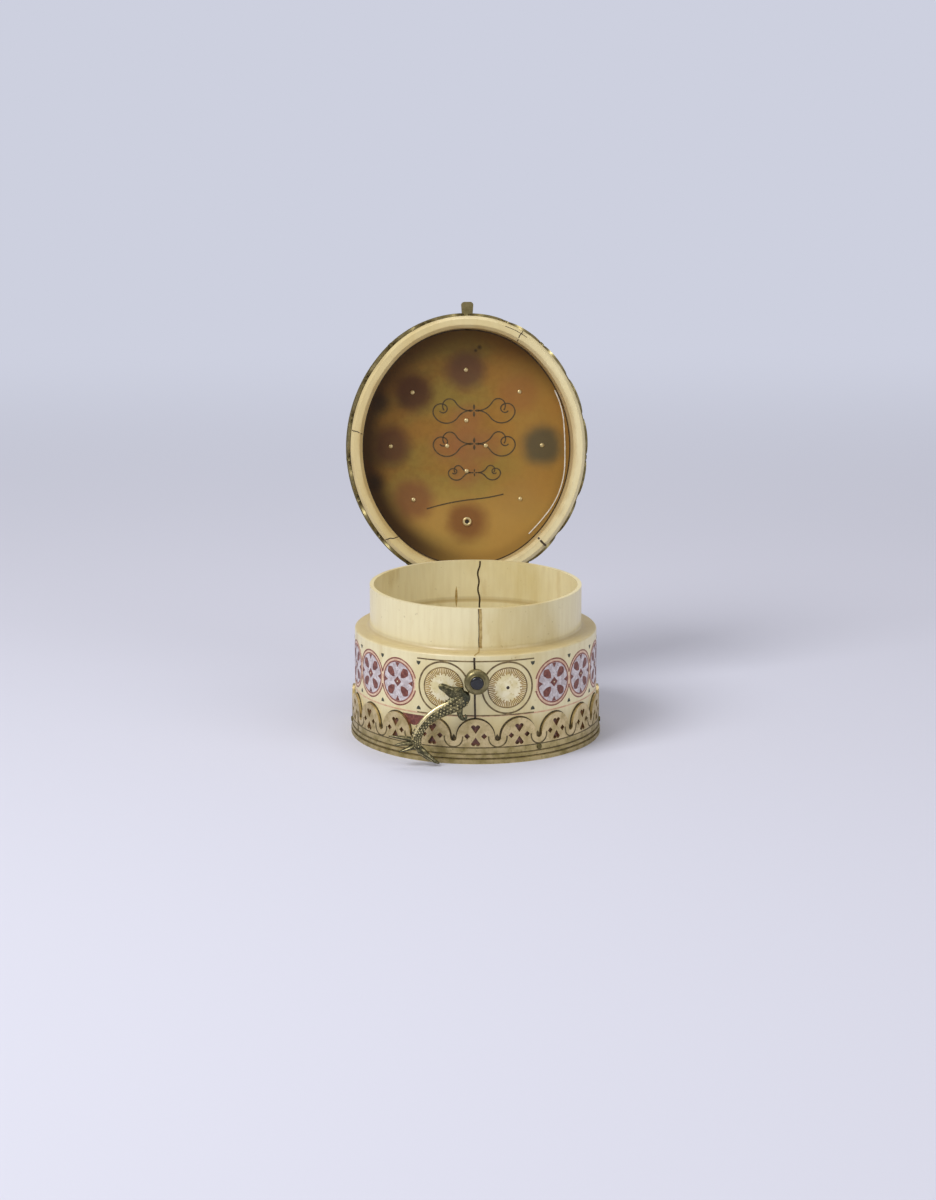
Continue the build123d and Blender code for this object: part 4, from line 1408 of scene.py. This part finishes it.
# %% [markdown]
# Four of the rim's cracks start at its outer edge and run inwards, and the third in the table
# runs along it. The table gives each one's distance round the rim, how far in it starts, its
# heading in degrees, its length and width, and its swings in degrees. Lengths are in
# millimetres. Past the level part of the rim the cracks follow its inner slope.

# %% Cracks across the lid's rim
lid_rim_level = lid_ring_low.z
flat_of_rim = 2.8 * mm
rim_cracks = (
    (-56.0, 0.12, -110, 3.6, 0.28, (20, -30, 20)),
    (18.4, 0.12, -78, 3.7, 0.3, (-30, 40, -30)),
    (12.6, 1.1, 0, 8.0, 0.18, (2, -4, 2)),
    (-93.3, 0.12, -135, 4.4, 0.3, (40, -55, 45, -30)),
    (96.5, 0.12, -97, 3.6, 0.7, (12, -16, 10)),
)
rim_lines = bmesh.new()
for distance, inset, heading, length, width, swings in rim_cracks:
    sheet = bmesh.new()
    wandering_line(sheet, length * mm, width * mm, swings, heading, -inset * mm)
    thicken(sheet, mark_height, mark_sunk)
    lay_round(sheet, lid_outer_wall, distance * mm, lid_rim_level, flat_of_rim)
    join_into(rim_lines, sheet)
piece("rim_cracks", rim_lines, "lid", crack_dark, lid=True)

# %% [markdown]
# ## The dolphin hook
# The hook is a small casting: a dolphin with its neck at the stud, an arched scaly back, a
# fin, and a tail that ends in spikes and one long point. CAD has only its flat outline.
# Here the same outline is filled by sweeping: rings are set along the body, each as wide as
# the outline is there, and bridged. Scales are small domes in rows, and the back carries a
# ridge in bright gilt, a painted highlight.

# %% Sweeping rings along a line
stud_low, stud_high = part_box("stud_cabochon")
hook_eye = Vector(((stud_low.x + stud_high.x) / 2, 0, (stud_low.z + stud_high.z) / 2))
hook_low, hook_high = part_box("latch_hook")
hook_middle_deep = (hook_low.y + hook_high.y) / 2 - 0.35 * mm


def station_turn(stations, number):
    """The heading of a line of stations at one of them."""
    before = stations[max(0, number - 1)]
    after = stations[min(len(stations) - 1, number + 1)]
    return math.atan2(after[1] - before[1], after[0] - before[0])


def sweep(sheet, stations, segments=14, forward=0.0):
    """Bridge rings of (across, up, half width, half depth), in mm from the stud's centre."""
    rings = []
    last = len(stations) - 1
    for number, (across, up, half, deep) in enumerate(stations):
        made = bmesh.ops.create_circle(
            sheet, cap_ends=number in (0, last), segments=segments, radius=1
        )["verts"]
        bmesh.ops.scale(sheet, verts=made, vec=(half * mm, deep * mm, 1))
        upright = Matrix.Rotation(math.pi / 2 - station_turn(stations, number), 3, "Y")
        bmesh.ops.rotate(sheet, verts=made, cent=(0, 0, 0), matrix=upright)
        place = hook_eye + Vector((across * mm, hook_middle_deep - forward * mm, up * mm))
        bmesh.ops.translate(sheet, verts=made, vec=place)
        rings.append({edge for corner in made for edge in corner.link_edges})
    for first, second in zip(rings, rings[1:]):
        bmesh.ops.bridge_loops(sheet, edges=list(first | second))


def soften(made):
    """Round a coarse piece with one level of a subdivision surface."""
    rounding = made.modifiers.new("rounding", "SUBSURF")
    rounding.levels = 1
    rounding.render_levels = 1


print("the stud's middle in mm:", [round(value / mm, 2) for value in hook_eye])

# %% [markdown]
# The lines below are read off the flat outline of the hook. Each station gives a place across
# and up from the stud, and half the body's width and depth there, in millimetres. The tail
# splits into three spikes, and a curl hangs under the throat.

# %% Lines of the body, tail, fin and curl
body_line = (
    (-2.6, -3.0, 1.5, 1.0), (-4.0, -4.9, 2.7, 1.3), (-6.0, -6.5, 2.6, 1.4),
    (-8.4, -7.9, 2.1, 1.45), (-11.0, -9.1, 1.8, 1.4), (-13.3, -10.5, 1.65, 1.35),
    (-15.4, -12.4, 1.6, 1.35), (-17.0, -14.7, 1.6, 1.3), (-17.7, -16.8, 1.6, 1.2),
    (-17.7, -18.6, 1.5, 1.1), (-16.9, -20.3, 1.35, 1.0),
)
tail_line = (
    (-17.4, -19.2, 1.0, 1.0), (-16.4, -20.6, 1.3, 1.0), (-14.9, -21.9, 1.15, 0.9),
    (-13.2, -23.2, 0.85, 0.8), (-11.8, -24.2, 0.5, 0.55), (-10.8, -24.6, 0.2, 0.3),
)
fin_line = (
    (-3.4, -3.6, 2.0, 0.9), (-5.2, -3.7, 2.3, 1.1), (-6.9, -3.4, 2.0, 1.15),
    (-8.2, -2.6, 1.5, 1.0), (-9.2, -1.9, 1.2, 0.9), (-10.2, -1.4, 1.15, 0.8),
    (-10.9, -1.1, 0.7, 0.6), (-11.1, -1.0, 0.3, 0.3),
)
curl_line = (
    (-4.8, -7.4, 1.0, 0.9), (-5.1, -9.0, 0.9, 0.85), (-4.8, -10.5, 0.85, 0.8),
    (-3.9, -11.4, 0.7, 0.7), (-3.0, -11.1, 0.5, 0.6), (-3.0, -10.2, 0.35, 0.45),
    (-3.6, -9.9, 0.2, 0.3),
)
spike_lines = (
    (
        (-17.7, -17.4, 1.0, 0.9), (-20.4, -16.9, 0.75, 0.8),
        (-23.4, -16.4, 0.5, 0.6), (-26.0, -16.1, 0.16, 0.25),
    ),
    (
        (-17.7, -18.3, 1.0, 0.9), (-20.2, -18.3, 0.7, 0.8),
        (-22.4, -18.6, 0.5, 0.6), (-24.3, -18.9, 0.16, 0.25),
    ),
    (
        (-17.6, -19.2, 1.0, 0.9), (-19.6, -19.8, 0.7, 0.8),
        (-21.4, -20.5, 0.45, 0.6), (-23.0, -21.0, 0.16, 0.25),
    ),
)
print("lines to sweep:", 4 + len(spike_lines))

# %% Dark cast brass, and the body swept from its lines
dark_cast = Finish("dark_cast_brass", Metallic=1.0, Roughness=0.42)
bright = dark_cast.clouds(1.1 * mm, 4.0, seed=6.0).step(0.45, 0.68)
pits = dark_cast.clouds(0.35 * mm, 2.0, seed=9.0).step(0.4, 0.62)
cast_colour = dark_cast.mix(bright, linear("5E5B45"), linear("A49A70"))
near_stud = dark_cast.place()[0].step(-7.5 * mm, -4.5 * mm)
cast_colour = dark_cast.mix(near_stud * 0.6, cast_colour, linear("454C44"))
dark_cast.set("Base Color", dark_cast.mix(pits * 0.55, cast_colour, linear("383626")))
dark_cast.bump(dark_cast.clouds(0.5 * mm, 3.0, seed=2.0), 0.15 * mm, 0.8)

dolphin = bmesh.new()
for line in (body_line, tail_line, fin_line, curl_line, *spike_lines):
    sweep(dolphin, line)
dolphin_piece = piece("dolphin_body", dolphin, "latch", dark_cast, smooth=True)
soften(dolphin_piece)
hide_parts("latch_hook")

# %% [markdown]
# The hook turns on the stud by a plain eye. A small upright rectangle is spun about the stud's
# middle, which leaves a ring with square edges and a clean hole for the post.

# %% The eye round the stud
eye_ring = bmesh.new()
eye_inner = 1.36 * mm
eye_outer = 3.2 * mm
eye_half = (hook_high.y - hook_low.y) / 2
bar = bmesh.ops.create_grid(eye_ring, x_segments=1, y_segments=1, size=0.5)["verts"]
bmesh.ops.scale(eye_ring, verts=bar, vec=(eye_outer - eye_inner, 2 * eye_half, 1))
bmesh.ops.translate(eye_ring, verts=bar, vec=((eye_inner + eye_outer) / 2, 0, 0))
bmesh.ops.delete(eye_ring, geom=eye_ring.faces[:], context="FACES_ONLY")
bmesh.ops.spin(
    eye_ring, geom=eye_ring.edges[:] + eye_ring.verts[:], cent=(0, 0, 0), axis=(0, 1, 0),
    angle=math.tau, steps=48, use_merge=True,
)
eye_place = hook_eye + Vector((0, (hook_low.y + hook_high.y) / 2, 0))
bmesh.ops.translate(eye_ring, verts=eye_ring.verts, vec=eye_place)
piece("dolphin_eye", eye_ring, "latch", dark_cast)

# %% [markdown]
# The cabochon is held by a narrow rim of metal pressed against it. It is a ring of round wire,
# half sunk in the collar.

# %% The setting round the stone
def ring_of_wire(middle, wire):
    """A ring of round wire about the y axis, at the origin."""
    ring = bmesh.new()
    section = bmesh.ops.create_circle(ring, segments=10, radius=wire)["verts"]
    bmesh.ops.translate(ring, verts=section, vec=(middle, 0, 0))
    bmesh.ops.spin(
        ring, geom=ring.edges[:] + ring.verts[:], cent=(0, 0, 0), axis=(0, 1, 0),
        angle=math.tau, steps=40, use_merge=True,
    )
    return ring


setting_middle = 2.12 * mm
setting_wire = 0.26 * mm
collar_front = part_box("stud_collar")[0].y
setting_place = hook_eye + Vector((0, collar_front + 0.05 * mm, 0))
setting = ring_of_wire(setting_middle, setting_wire)
bmesh.ops.translate(setting, verts=setting.verts, vec=setting_place)
piece("stone_setting", setting, "root", dark_brass, smooth=True)

# %% [markdown]
# The scales stand in columns along the body, and every second row is shifted by half a column
# so that they lie like tiles. A station between two others gives each scale its place and
# lean, and an angle round the body gives its row. The domes share one mesh, in which an
# icosphere of few faces is enough.

# %% Scales
def between(stations, share):
    """A station part of the way along a line, and the line's heading there."""
    run = share * (len(stations) - 1)
    number = min(int(run), len(stations) - 2)
    part = run - number
    blended = [a + (b - a) * part for a, b in zip(stations[number], stations[number + 1])]
    turn = station_turn(stations, number) * (1 - part) + station_turn(stations, number + 1) * part
    return blended, turn


scale_columns = 22
scale_rows = (-64, -38, -12, 14, 40, 66)
scales = bmesh.new()
for column in range(scale_columns):
    for row, angle in enumerate(scale_rows):
        share = 0.1 + 0.86 * (column + 0.5 * (row % 2)) / scale_columns
        (across, up, half, deep), turn = between(body_line, share)
        side = math.sin(math.radians(angle))
        front = math.cos(math.radians(angle))
        spot = hook_eye + Vector((
            (across - math.sin(turn) * half * side * 0.92) * mm,
            hook_middle_deep - deep * front * 0.92 * mm,
            (up + math.cos(turn) * half * side * 0.92) * mm,
        ))
        dome = bmesh.ops.create_icosphere(scales, subdivisions=1, radius=0.36 * mm)["verts"]
        bmesh.ops.scale(scales, verts=dome, vec=(1, 0.75, 0.8))
        lean = Matrix.Rotation(-turn, 3, "Y")
        bmesh.ops.rotate(scales, verts=dome, cent=(0, 0, 0), matrix=lean)
        bmesh.ops.translate(scales, verts=dome, vec=spot)
scale_brass = Finish("scale_brass", Metallic=1.0, Roughness=0.36)
gilt = scale_brass.clouds(1.4 * mm, 3.0, seed=3.0).step(0.4, 0.62)
scale_brass.set("Base Color", scale_brass.mix(gilt, linear("8A8160"), linear("D2C595")))
piece("dolphin_scales", scales, "latch", scale_brass, smooth=True)

# %% [markdown]
# A painted highlight in bright gilt runs on a ridge along the back, and the gilding has survived
# on thin ribs on the spikes, the tail and the fin. They are swept like the body, only narrower
# and a little further forward.

# %% The painted highlight on the ridge, and the ribs of the tail
ridge_line = (
    (-6.6, -5.6, 0.2, 0.3), (-9.0, -6.4, 0.6, 0.7), (-12.0, -7.9, 0.7, 0.85),
    (-14.9, -10.3, 0.72, 0.85), (-17.1, -13.2, 0.66, 0.8), (-18.3, -15.8, 0.5, 0.65),
    (-18.9, -17.6, 0.2, 0.3),
)
rib_lines = (
    ((-18.0, -17.3, 0.2, 0.3), (-21.6, -16.5, 0.22, 0.3), (-25.4, -15.9, 0.08, 0.12)),
    ((-18.0, -18.1, 0.2, 0.3), (-20.8, -18.2, 0.2, 0.3), (-23.8, -18.6, 0.08, 0.12)),
    ((-18.0, -19.0, 0.2, 0.3), (-20.2, -19.9, 0.2, 0.3), (-22.6, -20.7, 0.08, 0.12)),
    ((-16.9, -20.2, 0.15, 0.3), (-15.2, -21.3, 0.2, 0.3), (-12.0, -23.9, 0.08, 0.12)),
    ((-17.2, -21.0, 0.15, 0.3), (-15.6, -22.0, 0.2, 0.3), (-12.4, -24.2, 0.08, 0.12)),
    ((-4.6, -3.2, 0.15, 0.3), (-7.4, -2.0, 0.2, 0.3), (-10.4, -0.7, 0.08, 0.12)),
    ((-4.9, -4.4, 0.15, 0.3), (-7.6, -3.1, 0.2, 0.3), (-10.2, -1.4, 0.08, 0.12)),
)
# Painted highlight: the ridge's bright gilt stands for the light along the top of the back.
highlight_gilt = Finish("highlight_gilt", Metallic=1.0, Roughness=0.32)
rubbed = highlight_gilt.clouds(1.0 * mm, 3.0, seed=7.0).step(0.5, 0.75)
highlight_gilt.set("Base Color", highlight_gilt.mix(rubbed, linear("F2E2AE"), linear("C2AA68")))
ridge = bmesh.new()
sweep(ridge, ridge_line, 8, forward=0.5)
ridge_piece = piece("dolphin_highlight_ridge", ridge, "latch", highlight_gilt, smooth=True)
soften(ridge_piece)
ribs = bmesh.new()
for line in rib_lines:
    sweep(ribs, line, 6, forward=0.65)
rib_piece = piece("dolphin_ribs", ribs, "latch", scale_brass, smooth=True)
soften(rib_piece)
